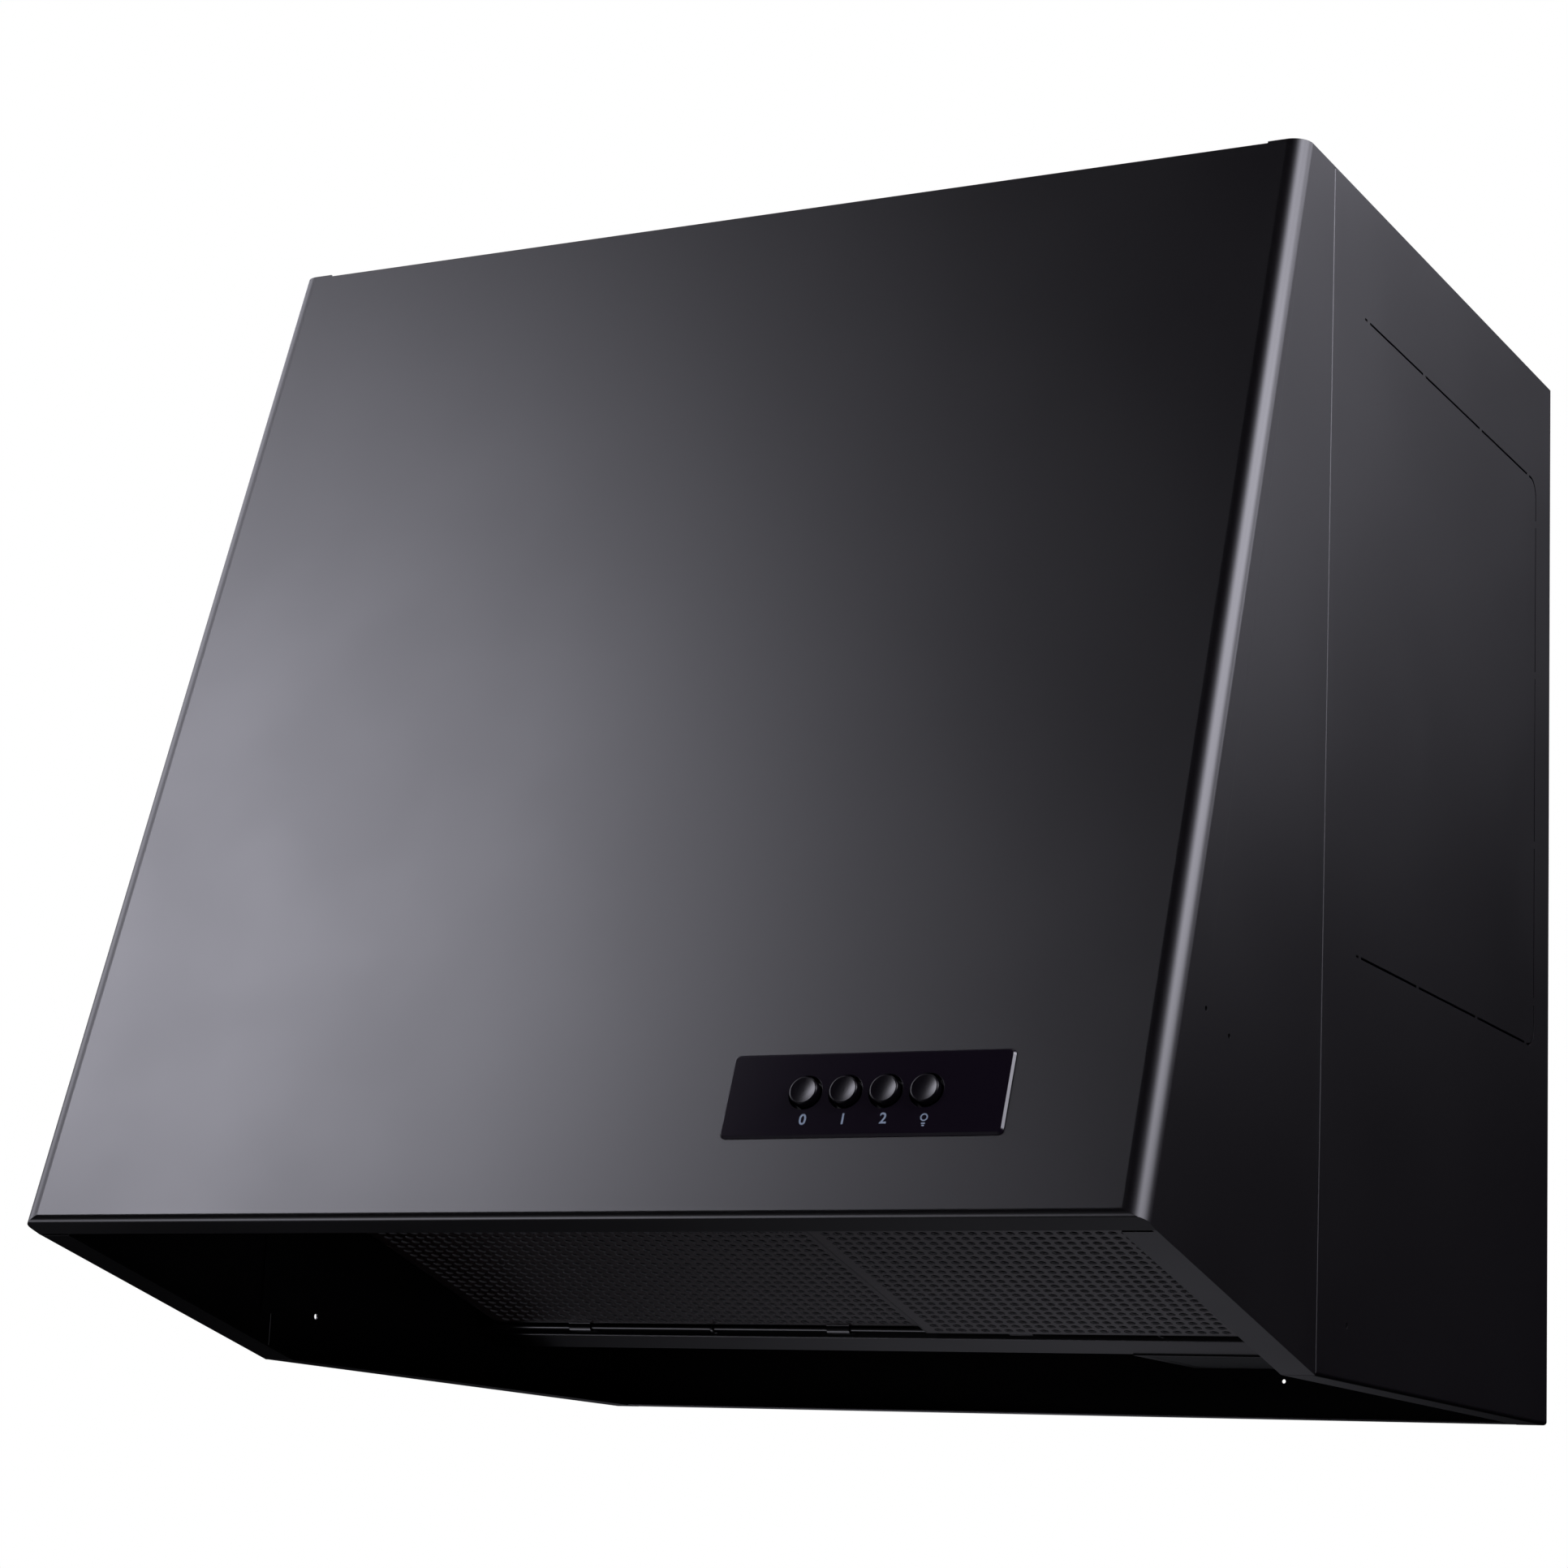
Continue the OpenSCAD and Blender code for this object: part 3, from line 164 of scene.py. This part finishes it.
def galvanisedSheet(name, look):
    # Hot-dip galvanised sheet: soft grey metal in flat crystals, each a little lighter or darker
    material, tree, coords, surface = newMaterial(name, {"Metallic": 1.0, "Roughness": 0.42})
    warp = addNode(tree, "ShaderNodeTexNoise", {"Scale": 1.5 / look["spangle"], "Detail": 2.0},
                   {"Vector": (coords, "Object")})
    bent = addNode(tree, "ShaderNodeVectorMath",
                   {"operation": "MULTIPLY_ADD", 1: (0.3 * look["spangle"],) * 3},
                   {0: (warp, "Color"), 2: (coords, "Object")})
    crystals = addNode(tree, "ShaderNodeTexVoronoi", {"Scale": 1 / look["spangle"]},
                       {"Vector": (bent, "Vector")})
    shade = ramp(tree, (crystals, "Color"), [(0.1, hexColor(look["dull"])), (0.9, hexColor(look["bright"]))])
    tree.links.new(shade.outputs["Color"], surface.inputs["Base Color"])
    gloss = addNode(tree, "ShaderNodeMapRange", {"To Min": look["glossiest"], "To Max": look["dullest"]},
                    {"Value": (crystals, "Color")})
    tree.links.new(gloss.outputs["Result"], surface.inputs["Roughness"])
    rounded = addNode(tree, "ShaderNodeBevel", {"samples": 4, "Radius": 0.25 * mm})
    bump = addNode(tree, "ShaderNodeBump", {"Strength": 0.15, "Distance": 0.05 * mm},
                   {"Height": (crystals, "Distance"), "Normal": (rounded, "Normal")})
    tree.links.new(bump.outputs["Normal"], surface.inputs["Normal"])
    return material


def zincPlate(name):
    # Zinc-plated and clear-passivated steel, barrel-plated: bright, bluish, with fine handling marks
    material, tree, coords, surface = newMaterial(name, {
        "Base Color": hexColor("#b3b7bd"), "Metallic": 1.0, "Roughness": 0.28})
    marks = addNode(tree, "ShaderNodeTexNoise", {"Scale": 1 / (1.2 * mm), "Detail": 4.0},
                    {"Vector": (coords, "Object")})
    gloss = addNode(tree, "ShaderNodeMapRange", {"To Min": 0.2, "To Max": 0.4}, {"Value": (marks, "Fac")})
    tree.links.new(gloss.outputs["Result"], surface.inputs["Roughness"])
    tint = ramp(tree, (marks, "Fac"), [(0.35, hexColor("#a6acb4")), (0.65, hexColor("#c2c4c3"))])
    tree.links.new(tint.outputs["Color"], surface.inputs["Base Color"])
    return material


def mouldedAbs(name, colour, roughness, edge, ior):
    # Black ABS: the plate from a polished tool, nearly a mirror, and the buttons from a satin one,
    # whose fine grain gives back less light
    material, tree, coords, surface = newMaterial(name, {
        "Base Color": hexColor(colour), "Roughness": roughness, "IOR": ior})
    flow = addNode(tree, "ShaderNodeTexNoise", {"Scale": 1 / (18 * mm), "Detail": 2.0},
                   {"Vector": (coords, "Object")})
    gloss = addNode(tree, "ShaderNodeMapRange", {"To Min": 0.85 * roughness, "To Max": 1.15 * roughness},
                    {"Value": (flow, "Fac")})
    tree.links.new(gloss.outputs["Result"], surface.inputs["Roughness"])
    rounded = addNode(tree, "ShaderNodeBevel", {"samples": 6, "Radius": edge})
    tree.links.new(rounded.outputs["Normal"], surface.inputs["Normal"])
    return material


def mattPlastic(name, colour, roughness, grain):
    # Plastic moulded against a spark-eroded tool, which leaves a fine even grain
    material, tree, coords, surface = newMaterial(name, {
        "Base Color": hexColor(colour), "Roughness": roughness, "IOR": 1.5})
    pits = addNode(tree, "ShaderNodeTexNoise", {"Scale": 1 / grain, "Detail": 2.0},
                   {"Vector": (coords, "Object")})
    bump = addNode(tree, "ShaderNodeBump", {"Strength": 0.3, "Distance": 0.05 * mm},
                   {"Height": (pits, "Fac")})
    tree.links.new(bump.outputs["Normal"], surface.inputs["Normal"])
    gloss = addNode(tree, "ShaderNodeMapRange", {"To Min": roughness - 0.05, "To Max": roughness + 0.05},
                    {"Value": (pits, "Fac")})
    tree.links.new(gloss.outputs["Result"], surface.inputs["Roughness"])
    return material


def copperWinding(name):
    # Lacquered copper wire wound round a stack of steel laminations
    material, tree, coords, surface = newMaterial(name, {"Metallic": 0.8, "Roughness": 0.35})
    wires = addNode(tree, "ShaderNodeTexWave",
                    {"wave_type": "RINGS", "Scale": 1 / (6 * mm), "Distortion": 1.0},
                    {"Vector": (coords, "Object")})
    tint = ramp(tree, (wires, "Fac"), [(0.2, hexColor("#5a2e1a")), (0.8, hexColor("#b06a3c"))])
    tree.links.new(tint.outputs["Color"], surface.inputs["Base Color"])
    bump = addNode(tree, "ShaderNodeBump", {"Strength": 0.6, "Distance": 0.2 * mm},
                   {"Height": (wires, "Fac")})
    tree.links.new(bump.outputs["Normal"], surface.inputs["Normal"])
    return material


def ribbedGlass(name):
    # Pressed lens glass, etched, with shallow ribs that spread the light; its dark grey tint is painted shade that
    # keeps the lens as dark as the black lamp bay behind it
    material, tree, coords, surface = newMaterial(name, {
        "Base Color": hexColor("#1c2021"), "Roughness": 0.5, "IOR": 1.3, "Transmission Weight": 0.4})
    ribs = addNode(tree, "ShaderNodeTexWave", {"bands_direction": "X", "Scale": 1 / (20 * mm)},
                   {"Vector": (coords, "Object")})
    bump = addNode(tree, "ShaderNodeBump", {"Strength": 0.15, "Distance": 0.2 * mm},
                   {"Height": (ribs, "Fac")})
    tree.links.new(bump.outputs["Normal"], surface.inputs["Normal"])
    return material


def opalGlass(name):
    # Glass bulb coated inside with white powder: smooth outside, milky all over
    material, tree, coords, surface = newMaterial(name, {
        "Base Color": hexColor("#f1efe8"), "Roughness": 0.12, "IOR": 1.5, "Subsurface Weight": 0.3,
        "Subsurface Scale": 4 * mm})
    powder = addNode(tree, "ShaderNodeTexNoise", {"Scale": 1 / (3 * mm)}, {"Vector": (coords, "Object")})
    tint = ramp(tree, (powder, "Fac"), [(0.3, hexColor("#e9e7df")), (0.7, hexColor("#f6f4ef"))])
    tree.links.new(tint.outputs["Color"], surface.inputs["Base Color"])
    return material


def ferrite(name):
    # Sintered ferrite: dark grey, matt, slightly pitted
    material, tree, coords, surface = newMaterial(name, {"Base Color": hexColor("#2c2d30"), "Roughness": 0.6})
    pits = addNode(tree, "ShaderNodeTexNoise", {"Scale": 1 / (0.6 * mm), "Detail": 4.0},
                   {"Vector": (coords, "Object")})
    bump = addNode(tree, "ShaderNodeBump", {"Strength": 0.4, "Distance": 0.1 * mm},
                   {"Height": (pits, "Fac")})
    tree.links.new(bump.outputs["Normal"], surface.inputs["Normal"])
    return material


def printedMark(name):
    # Pad-printed ink: thin, matt, pale blue-grey
    material, tree, coords, surface = newMaterial(name, {"Base Color": hexColor("#74809a"), "Roughness": 0.5})
    wear = addNode(tree, "ShaderNodeTexNoise", {"Scale": 1 / (0.8 * mm)}, {"Vector": (coords, "Object")})
    tint = ramp(tree, (wear, "Fac"), [(0.3, hexColor("#6b7892")), (0.7, hexColor("#7d89a2"))])
    tree.links.new(tint.outputs["Color"], surface.inputs["Base Color"])
    return material


finishes = {
    "painted_steel": satinEnamel("satinEnamel", enamel),
    "black_screen": satinEnamel("screenEnamel", dict(enamel, color="#160f11", roughness=0.27, edge=0.1 * mm)),
    "galvanised_sheet": galvanisedSheet("galvanisedSheet", zinc),
    "zinc_steel": zincPlate("zincPlate"),
    # the switch plate's dim purple is partly its own and partly lifted as painted sheen, standing in for the faint
    # reflection across it
    "gloss_black": mouldedAbs("polishedAbs", "#110c16", 0.05, 0.2 * mm, 1.53),
    "black_plastic": mattPlastic("blackNylon", "#1c1c1e", 0.5, 0.5 * mm),
    "black_rubber": mattPlastic("blackRubber", "#161616", 0.75, 0.8 * mm),
    "white_plastic": mattPlastic("whiteAcetal", "#d9d5c8", 0.4, 0.6 * mm),
    "copper_winding": copperWinding("copperWinding"),
    "frosted_glass": ribbedGlass("ribbedGlass"),
    "bulb_glass": opalGlass("opalGlass"),
    "magnet": ferrite("ferrite"),
}
punchedEdge = bareEdge("punchedEdge")
cutEnamel = satinEnamel("cutEnamel", dict(enamel, edge=0.12 * mm))  # thin over the cut knock-outs
foldEnamel = satinEnamel("foldEnamel", dict(enamel, edge=1.1 * mm))  # round over a folded hem
satinAbs = mouldedAbs("satinAbs", "#08060b", 0.2, 0.25 * mm, 1.32)
ink = printedMark("printedInk")
# CAD nodes whose finish differs from the one of their material slot
ownFinish = {
    "off_button": satinAbs, "low_button": satinAbs, "high_button": satinAbs, "lamp_button": satinAbs,
    "left_side_panel": cutEnamel, "right_side_panel": cutEnamel,
    "back_panel": foldEnamel, "rear_deck": foldEnamel,
}

for part in frame["record"]["subparts"]:
    mesh = nodes[part["node"]].data
    mesh.materials.clear()
    mesh.materials.append(ownFinish.get(part["node"]) or finishes[part["material_slot"]])
print("materials given to the CAD nodes")


screen = {
    "pitch": 7.06 * mm,
    "hole": 4.7 * mm,
    "edge": 0.2 * mm,  # rounding of the punched edge
    "weld": 0.01 * mm,  # points closer than this are one
    "near": 0.1 * mm,  # how close to the field's edge a point of its border lies
    "sheet": 1.0 * mm,
    "slope": math.radians(14.8),  # down towards the wall
    "border": 4.0 * mm,
    "rearBorder": 0.8 * mm,  # the rows start this close to the rear edge
    "sides": 12,
}


def perforatedPlate(name, body, node):
    low, high = (Vector(v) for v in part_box(node))
    width = high.x - low.x
    slope, pitch, sheet = screen["slope"], screen["pitch"], screen["sheet"]
    length = (high.y - low.y - sheet * math.sin(slope)) / math.cos(slope)
    half = pitch / 2
    columns = int((width - 2 * screen["border"]) / pitch)
    rows = int((length - screen["border"] - screen["rearBorder"]) / pitch)
    bm = bmesh.new()
    # one cell: five rings from the square's edge, over the rounded rim, through the sheet and out again
    turn = Matrix.Rotation(math.pi / screen["sides"], 4, "Z")
    holeR = screen["hole"] / 2
    rings = []
    for radius, height in ((None, 0), (holeR + screen["edge"], 0), (holeR, screen["edge"]),
                           (holeR, sheet), (None, sheet)):
        ring = bmesh.ops.create_circle(bm, segments=screen["sides"], radius=radius or half,
                                       matrix=turn)["verts"]
        for v in ring:
            if radius is None:
                v.co *= half / max(abs(v.co.x), abs(v.co.y))
            v.co.z = height
        rings.append(ring)
    edgesOf = [[e for e in bm.edges if e.verts[0] in ring and e.verts[1] in ring] for ring in rings]
    for level, (a, b) in enumerate(zip(edgesOf, edgesOf[1:])):
        for face in bmesh.ops.bridge_loops(bm, edges=a + b)["faces"]:
            face.material_index = 1 if level == 2 else 0  # the hole's wall
    cell = bm.verts[:] + bm.edges[:] + bm.faces[:]
    for column in range(1, columns):
        copy = movedVerts(bmesh.ops.duplicate(bm, geom=cell)["geom"])
        bmesh.ops.translate(bm, verts=copy, vec=(column * pitch, 0, 0))
    strip = bm.verts[:] + bm.edges[:] + bm.faces[:]
    for row in range(1, rows):
        copy = movedVerts(bmesh.ops.duplicate(bm, geom=strip)["geom"])
        bmesh.ops.translate(bm, verts=copy, vec=(0, row * pitch, 0))
    bmesh.ops.remove_doubles(bm, verts=bm.verts[:], dist=screen["weld"])
    fieldX, fieldY = columns * pitch / 2, rows * pitch / 2
    bmesh.ops.translate(bm, verts=bm.verts[:], vec=(half - fieldX, half - fieldY, 0))
    # the plain border round the field, then the plate's rim
    rim = [e for e in bm.edges if e.is_boundary]
    grown = bmesh.ops.extrude_edge_only(bm, edges=rim)["geom"]
    shift = length / 2 - screen["rearBorder"] - fieldY
    for v in movedVerts(grown):
        if abs(v.co.x) > fieldX - screen["near"]:
            v.co.x = math.copysign(width / 2, v.co.x)
        if abs(v.co.y) > fieldY - screen["near"]:
            v.co.y = math.copysign(length / 2, v.co.y) - shift
    bmesh.ops.bridge_loops(bm, edges=[e for e in bm.edges if e.is_boundary])
    bmesh.ops.translate(bm, verts=bm.verts[:], vec=(0, shift, 0))
    bmesh.ops.recalc_face_normals(bm, faces=bm.faces[:])
    place = Matrix.Translation((low + high) / 2) @ Matrix.Rotation(-slope, 4, "X")
    bmesh.ops.transform(bm, matrix=place @ Matrix.Translation((0, 0, -sheet / 2)), verts=bm.verts[:])
    piece = finishMesh(bm, name, finishes["black_screen"], body)
    piece.data.materials.append(punchedEdge)
    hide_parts(node)
    return piece


perforatedPlate("leftFilterPlate", "left_filter_door", "left_filter_screen")
perforatedPlate("rightFilterPlate", "right_filter_door", "right_filter_screen")
print("filter plates perforated")


marks = {
    "height": 5.2 * mm,
    "drop": 14.9 * mm,  # from a button's centre down the face to the mark's centre
    "aside": 1.2 * mm,  # and from it to the right
    "bold": 0.12 * mm,  # how far the strokes are thickened
    "digit": 0.69,  # a digit's height as a share of the type size
    "film": 0.06 * mm,
    "texts": {"off_button": "0", "low_button": "1", "high_button": "2"},
    "bulb": 1.9 * mm,  # outer radius of the lamp sign's ring
    "line": 0.65 * mm,
}
pushAxis = next(Vector(j["axis"]).normalized() for j in frame["joints"] if j["name"] == "off_press")
faceOut = -pushAxis
faceUp = Vector((1, 0, 0)).cross(pushAxis).normalized()
if faceUp.z < 0:
    faceUp = -faceUp


def faceFrame(node):
    low, high = (Vector(v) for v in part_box(node))
    middle = (low + high) / 2
    # step out from the button's middle to the plate's front plane, then down the face
    plate = nodes["switch_plate"].data
    plane = max(faceOut.dot(v.co) for v in plate.vertices)
    origin = middle + faceOut * (plane - faceOut.dot(middle)) - faceUp * marks["drop"]
    origin.x += marks["aside"]
    return Matrix.Translation(origin) @ Matrix((Vector((1, 0, 0)), faceUp, faceOut)).transposed().to_4x4()


def textMark(name, text, node):
    curve = bpy.data.curves.new(name, "FONT")
    curve.body = text
    curve.align_x, curve.align_y = "CENTER", "CENTER"
    curve.size = marks["height"] / marks["digit"]
    curve.extrude = marks["film"] / 2
    curve.offset = marks["bold"]
    curve.resolution_u = 4
    holder = bpy.data.objects.new(name + "Curve", curve)
    scene.collection.objects.link(holder)
    bpy.context.view_layer.update()
    mesh = bpy.data.meshes.new_from_object(holder.evaluated_get(bpy.context.evaluated_depsgraph_get()))
    bpy.data.objects.remove(holder)
    mesh.name = name
    xs, ys = [v.co.x for v in mesh.vertices], [v.co.y for v in mesh.vertices]
    mesh.transform(Matrix.Translation((-(min(xs) + max(xs)) / 2, -(min(ys) + max(ys)) / 2, 0)))
    mesh.transform(faceFrame(node) @ Matrix.Translation((0, 0, marks["film"] / 2)))
    mesh.materials.clear()
    mesh.materials.append(ink)
    piece = bpy.data.objects.new(name, mesh)
    scene.collection.objects.link(piece)
    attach(piece, "hood")
    return piece


def lampMark(name, node):
    # a bulb: a ring with two strokes of the cap under it
    line, radius = marks["line"], marks["bulb"]
    bm = bmesh.new()
    for r in (radius, radius - line):
        bmesh.ops.create_circle(bm, segments=32, radius=r)
    bmesh.ops.bridge_loops(bm, edges=bm.edges[:])
    for step in (1, 2):
        bar = bmesh.ops.create_grid(bm, x_segments=1, y_segments=1, size=0.5)["verts"]
        bmesh.ops.scale(bm, verts=bar, vec=((1.3 - 0.3 * step) * radius, line, 1))
        bmesh.ops.translate(bm, verts=bar, vec=(0, -radius - step * 1.6 * line, 0))
    grown = bmesh.ops.extrude_face_region(bm, geom=bm.faces[:])["geom"]
    bmesh.ops.translate(bm, verts=movedVerts(grown), vec=(0, 0, marks["film"]))
    bmesh.ops.recalc_face_normals(bm, faces=bm.faces[:])
    bmesh.ops.transform(bm, matrix=faceFrame(node), verts=bm.verts[:])
    piece = finishMesh(bm, name, ink, "hood")
    return piece


for node, text in marks["texts"].items():
    textMark("mark_" + node, text, node)
lampMark("mark_lamp_button", "lamp_button")
print("marks printed")


view = {
    "place": (0.9134, -2.0971, -0.1156),
    "azimuth": math.radians(27.976),  # to the left of +Y
    "pitch": math.radians(12.156),
    "roll": math.radians(2.699),
    "lens": 87.06,  # millimetres, on a sensor this wide
    "sensor": 36,
    "farthest": 100,
}


def makeCamera():
    a, p, r = view["azimuth"], view["pitch"], view["roll"]
    forward = Vector((-math.sin(a) * math.cos(p), math.cos(a) * math.cos(p), math.sin(p)))
    right = Vector((math.cos(a), math.sin(a), 0))
    up = right.cross(forward)
    rolledRight = math.cos(r) * right + math.sin(r) * up
    rolledUp = -math.sin(r) * right + math.cos(r) * up
    camera = bpy.data.cameras.new("camera")
    camera.lens = view["lens"]
    camera.sensor_width = view["sensor"]
    camera.clip_end = view["farthest"]
    holder = bpy.data.objects.new("camera", camera)
    axes = Matrix((rolledRight, rolledUp, -forward)).transposed().to_4x4()
    holder.matrix_world = Matrix.Translation(view["place"]) @ axes
    scene.collection.objects.link(holder)
    scene.camera = holder


makeCamera()


studio = {
    "centre": Vector((0, -0.35, 0.3)),
    "floor": -1.5,
    "floorReach": 12,
    "floorColor": "#e2e2e2",
    "ambient": 0.4,
    "lampDistance": 3.0,
    # azimuth is measured from the front (-Y) to the right and elevation from the horizon, in degrees
    "softboxes": [
        {"name": "leftBox", "azimuth": -47, "elevation": 33, "width": 16, "height": 15, "strength": 9.0},
        {"name": "rightBox", "azimuth": 86, "elevation": 33, "width": 40, "height": 26, "strength": 9.0},
    ],
    "domeRadius": 5.0,
    "domeTop": 78,  # elevation, in degrees, of the hole in the top
    "domeRings": 48,
    "glowTint": (0.98, 0.97, 1.1, 1),
    # what the gloss shows of the room: azimuth, elevation, width and height of each soft glow, and its level
    "glows": [
        (-47, 32, 4.9, 10, 18.5), (80, 35, 16, 15.5, 10.7), (108, 27, 15.6, 9.4, 8.8),
        (144, 17, 4.3, 4.4, 4.4), (187, 37, 60, 5, 4.2), (-84, 26, 18, 20, 3), (95, 3, 15, 5, 2),
        (-80, -58, 14, 10, 4), (-25, -38, 35, 18, 0.12), (203, -32, 8.5, 12, 0.22), (204, -9, 6.5, 7, 0.2),
    ],
}


def direction(azimuth, elevation):
    a, e = math.radians(azimuth), math.radians(elevation)
    return Vector((math.sin(a) * math.cos(e), -math.cos(a) * math.cos(e), math.sin(e)))


def makeSoftbox(box):
    light = bpy.data.lights.new(box["name"], "AREA")
    light.shape = "RECTANGLE"
    light.size = 2 * studio["lampDistance"] * math.tan(math.radians(box["width"] / 2))
    light.size_y = 2 * studio["lampDistance"] * math.tan(math.radians(box["height"] / 2))
    light.energy = box["strength"] * math.pi * light.size * light.size_y
    holder = bpy.data.objects.new(box["name"], light)
    aim = direction(box["azimuth"], box["elevation"])
    holder.location = studio["centre"] + studio["lampDistance"] * aim
    holder.rotation_euler = aim.to_track_quat("Z", "Y").to_euler()
    holder.visible_camera = False
    holder.visible_glossy = False  # the dome shows the gloss a softer picture of it
    scene.collection.objects.link(holder)


for box in studio["softboxes"]:
    makeSoftbox(box)


def glow(tree, coords, azimuth, elevation, width, height, level, before):
    # a soft spot on the dome that fades from its middle, added to the sum of the glows before it
    aim = direction(azimuth, elevation)
    right = Vector((math.cos(math.radians(azimuth)), math.sin(math.radians(azimuth)), 0))
    turn = Matrix((right, aim.cross(right), aim)).transposed().to_euler()
    radius = studio["domeRadius"]
    reach = (radius * math.sin(math.radians(width)), radius * math.sin(math.radians(height)), radius / 2)
    local = addNode(tree, "ShaderNodeMapping", {
        "vector_type": "TEXTURE", "Location": studio["centre"] + radius * aim, "Rotation": turn,
        "Scale": reach}, {"Vector": (coords, "Object")})
    square = addNode(tree, "ShaderNodeVectorMath", {"operation": "DOT_PRODUCT"},
                     {0: (local, "Vector"), 1: (local, "Vector")})
    fall = addNode(tree, "ShaderNodeMath", {"operation": "POWER", 0: 1 / math.e}, {1: (square, "Value")})
    links = {0: (fall, 0)}
    if before:
        links[2] = (before, 0)
    return addNode(tree, "ShaderNodeMath", {"operation": "MULTIPLY_ADD", 1: level, 2: 0.0}, links)


def makeDome():
    # the dark room round the hood with its glows, seen only in gloss and open at the top
    material = bpy.data.materials.new("roomDome")
    material.use_nodes = True
    tree = material.node_tree
    tree.nodes.clear()
    coords = addNode(tree, "ShaderNodeTexCoord")
    total = None
    for spot in studio["glows"]:
        total = glow(tree, coords, *spot, total)
    shine = addNode(tree, "ShaderNodeEmission", {"Color": studio["glowTint"]}, {"Strength": (total, 0)})
    addNode(tree, "ShaderNodeOutputMaterial", None, {"Surface": (shine, "Emission")})
    bm = bmesh.new()
    rings = studio["domeRings"]
    bmesh.ops.create_uvsphere(bm, u_segments=2 * rings, v_segments=rings, radius=studio["domeRadius"])
    top = studio["domeRadius"] * math.sin(math.radians(studio["domeTop"]))
    geom = bm.verts[:] + bm.edges[:] + bm.faces[:]
    bmesh.ops.bisect_plane(bm, geom=geom, plane_co=(0, 0, top), plane_no=(0, 0, 1), clear_outer=True)
    bmesh.ops.translate(bm, verts=bm.verts[:], vec=studio["centre"])
    dome = finishMesh(bm, "roomDome", material, None)
    dome.visible_camera = False
    dome.visible_diffuse = False
    dome.visible_transmission = False
    dome.visible_shadow = False


makeDome()


def makeFloor():
    bm = bmesh.new()
    bmesh.ops.create_grid(bm, x_segments=1, y_segments=1, size=studio["floorReach"])
    bmesh.ops.translate(bm, verts=bm.verts[:], vec=(0, 0, studio["floor"]))
    material, tree, coords, surface = newMaterial("paleFloor", {
        "Base Color": hexColor(studio["floorColor"]), "Roughness": 0.8})
    floor = finishMesh(bm, "floor", material, None)
    floor.visible_glossy = False


makeFloor()


def makeWorld():
    world = bpy.data.worlds.new("studio")
    scene.world = world
    world.use_nodes = True
    tree = world.node_tree
    tree.nodes.clear()
    rays = addNode(tree, "ShaderNodeLightPath")
    seen = addNode(tree, "ShaderNodeMath", {"operation": "MAXIMUM"},
                   {0: (rays, "Is Camera Ray"), 1: (rays, "Is Glossy Ray")})
    shown = addNode(tree, "ShaderNodeMath", {"operation": "MAXIMUM"},
                    {0: (seen, 0), 1: (rays, "Is Transmission Ray")})
    level = addNode(tree, "ShaderNodeMapRange", {"To Min": studio["ambient"], "To Max": 1.0},
                    {"Value": (shown, 0)})
    sky = addNode(tree, "ShaderNodeBackground", {"Color": (1, 1, 1, 1)}, {"Strength": (level, "Result")})
    addNode(tree, "ShaderNodeOutputWorld", None, {"Surface": (sky, "Background")})


makeWorld()
scene.view_settings.view_transform = "Standard"
print("camera, light and floor set")
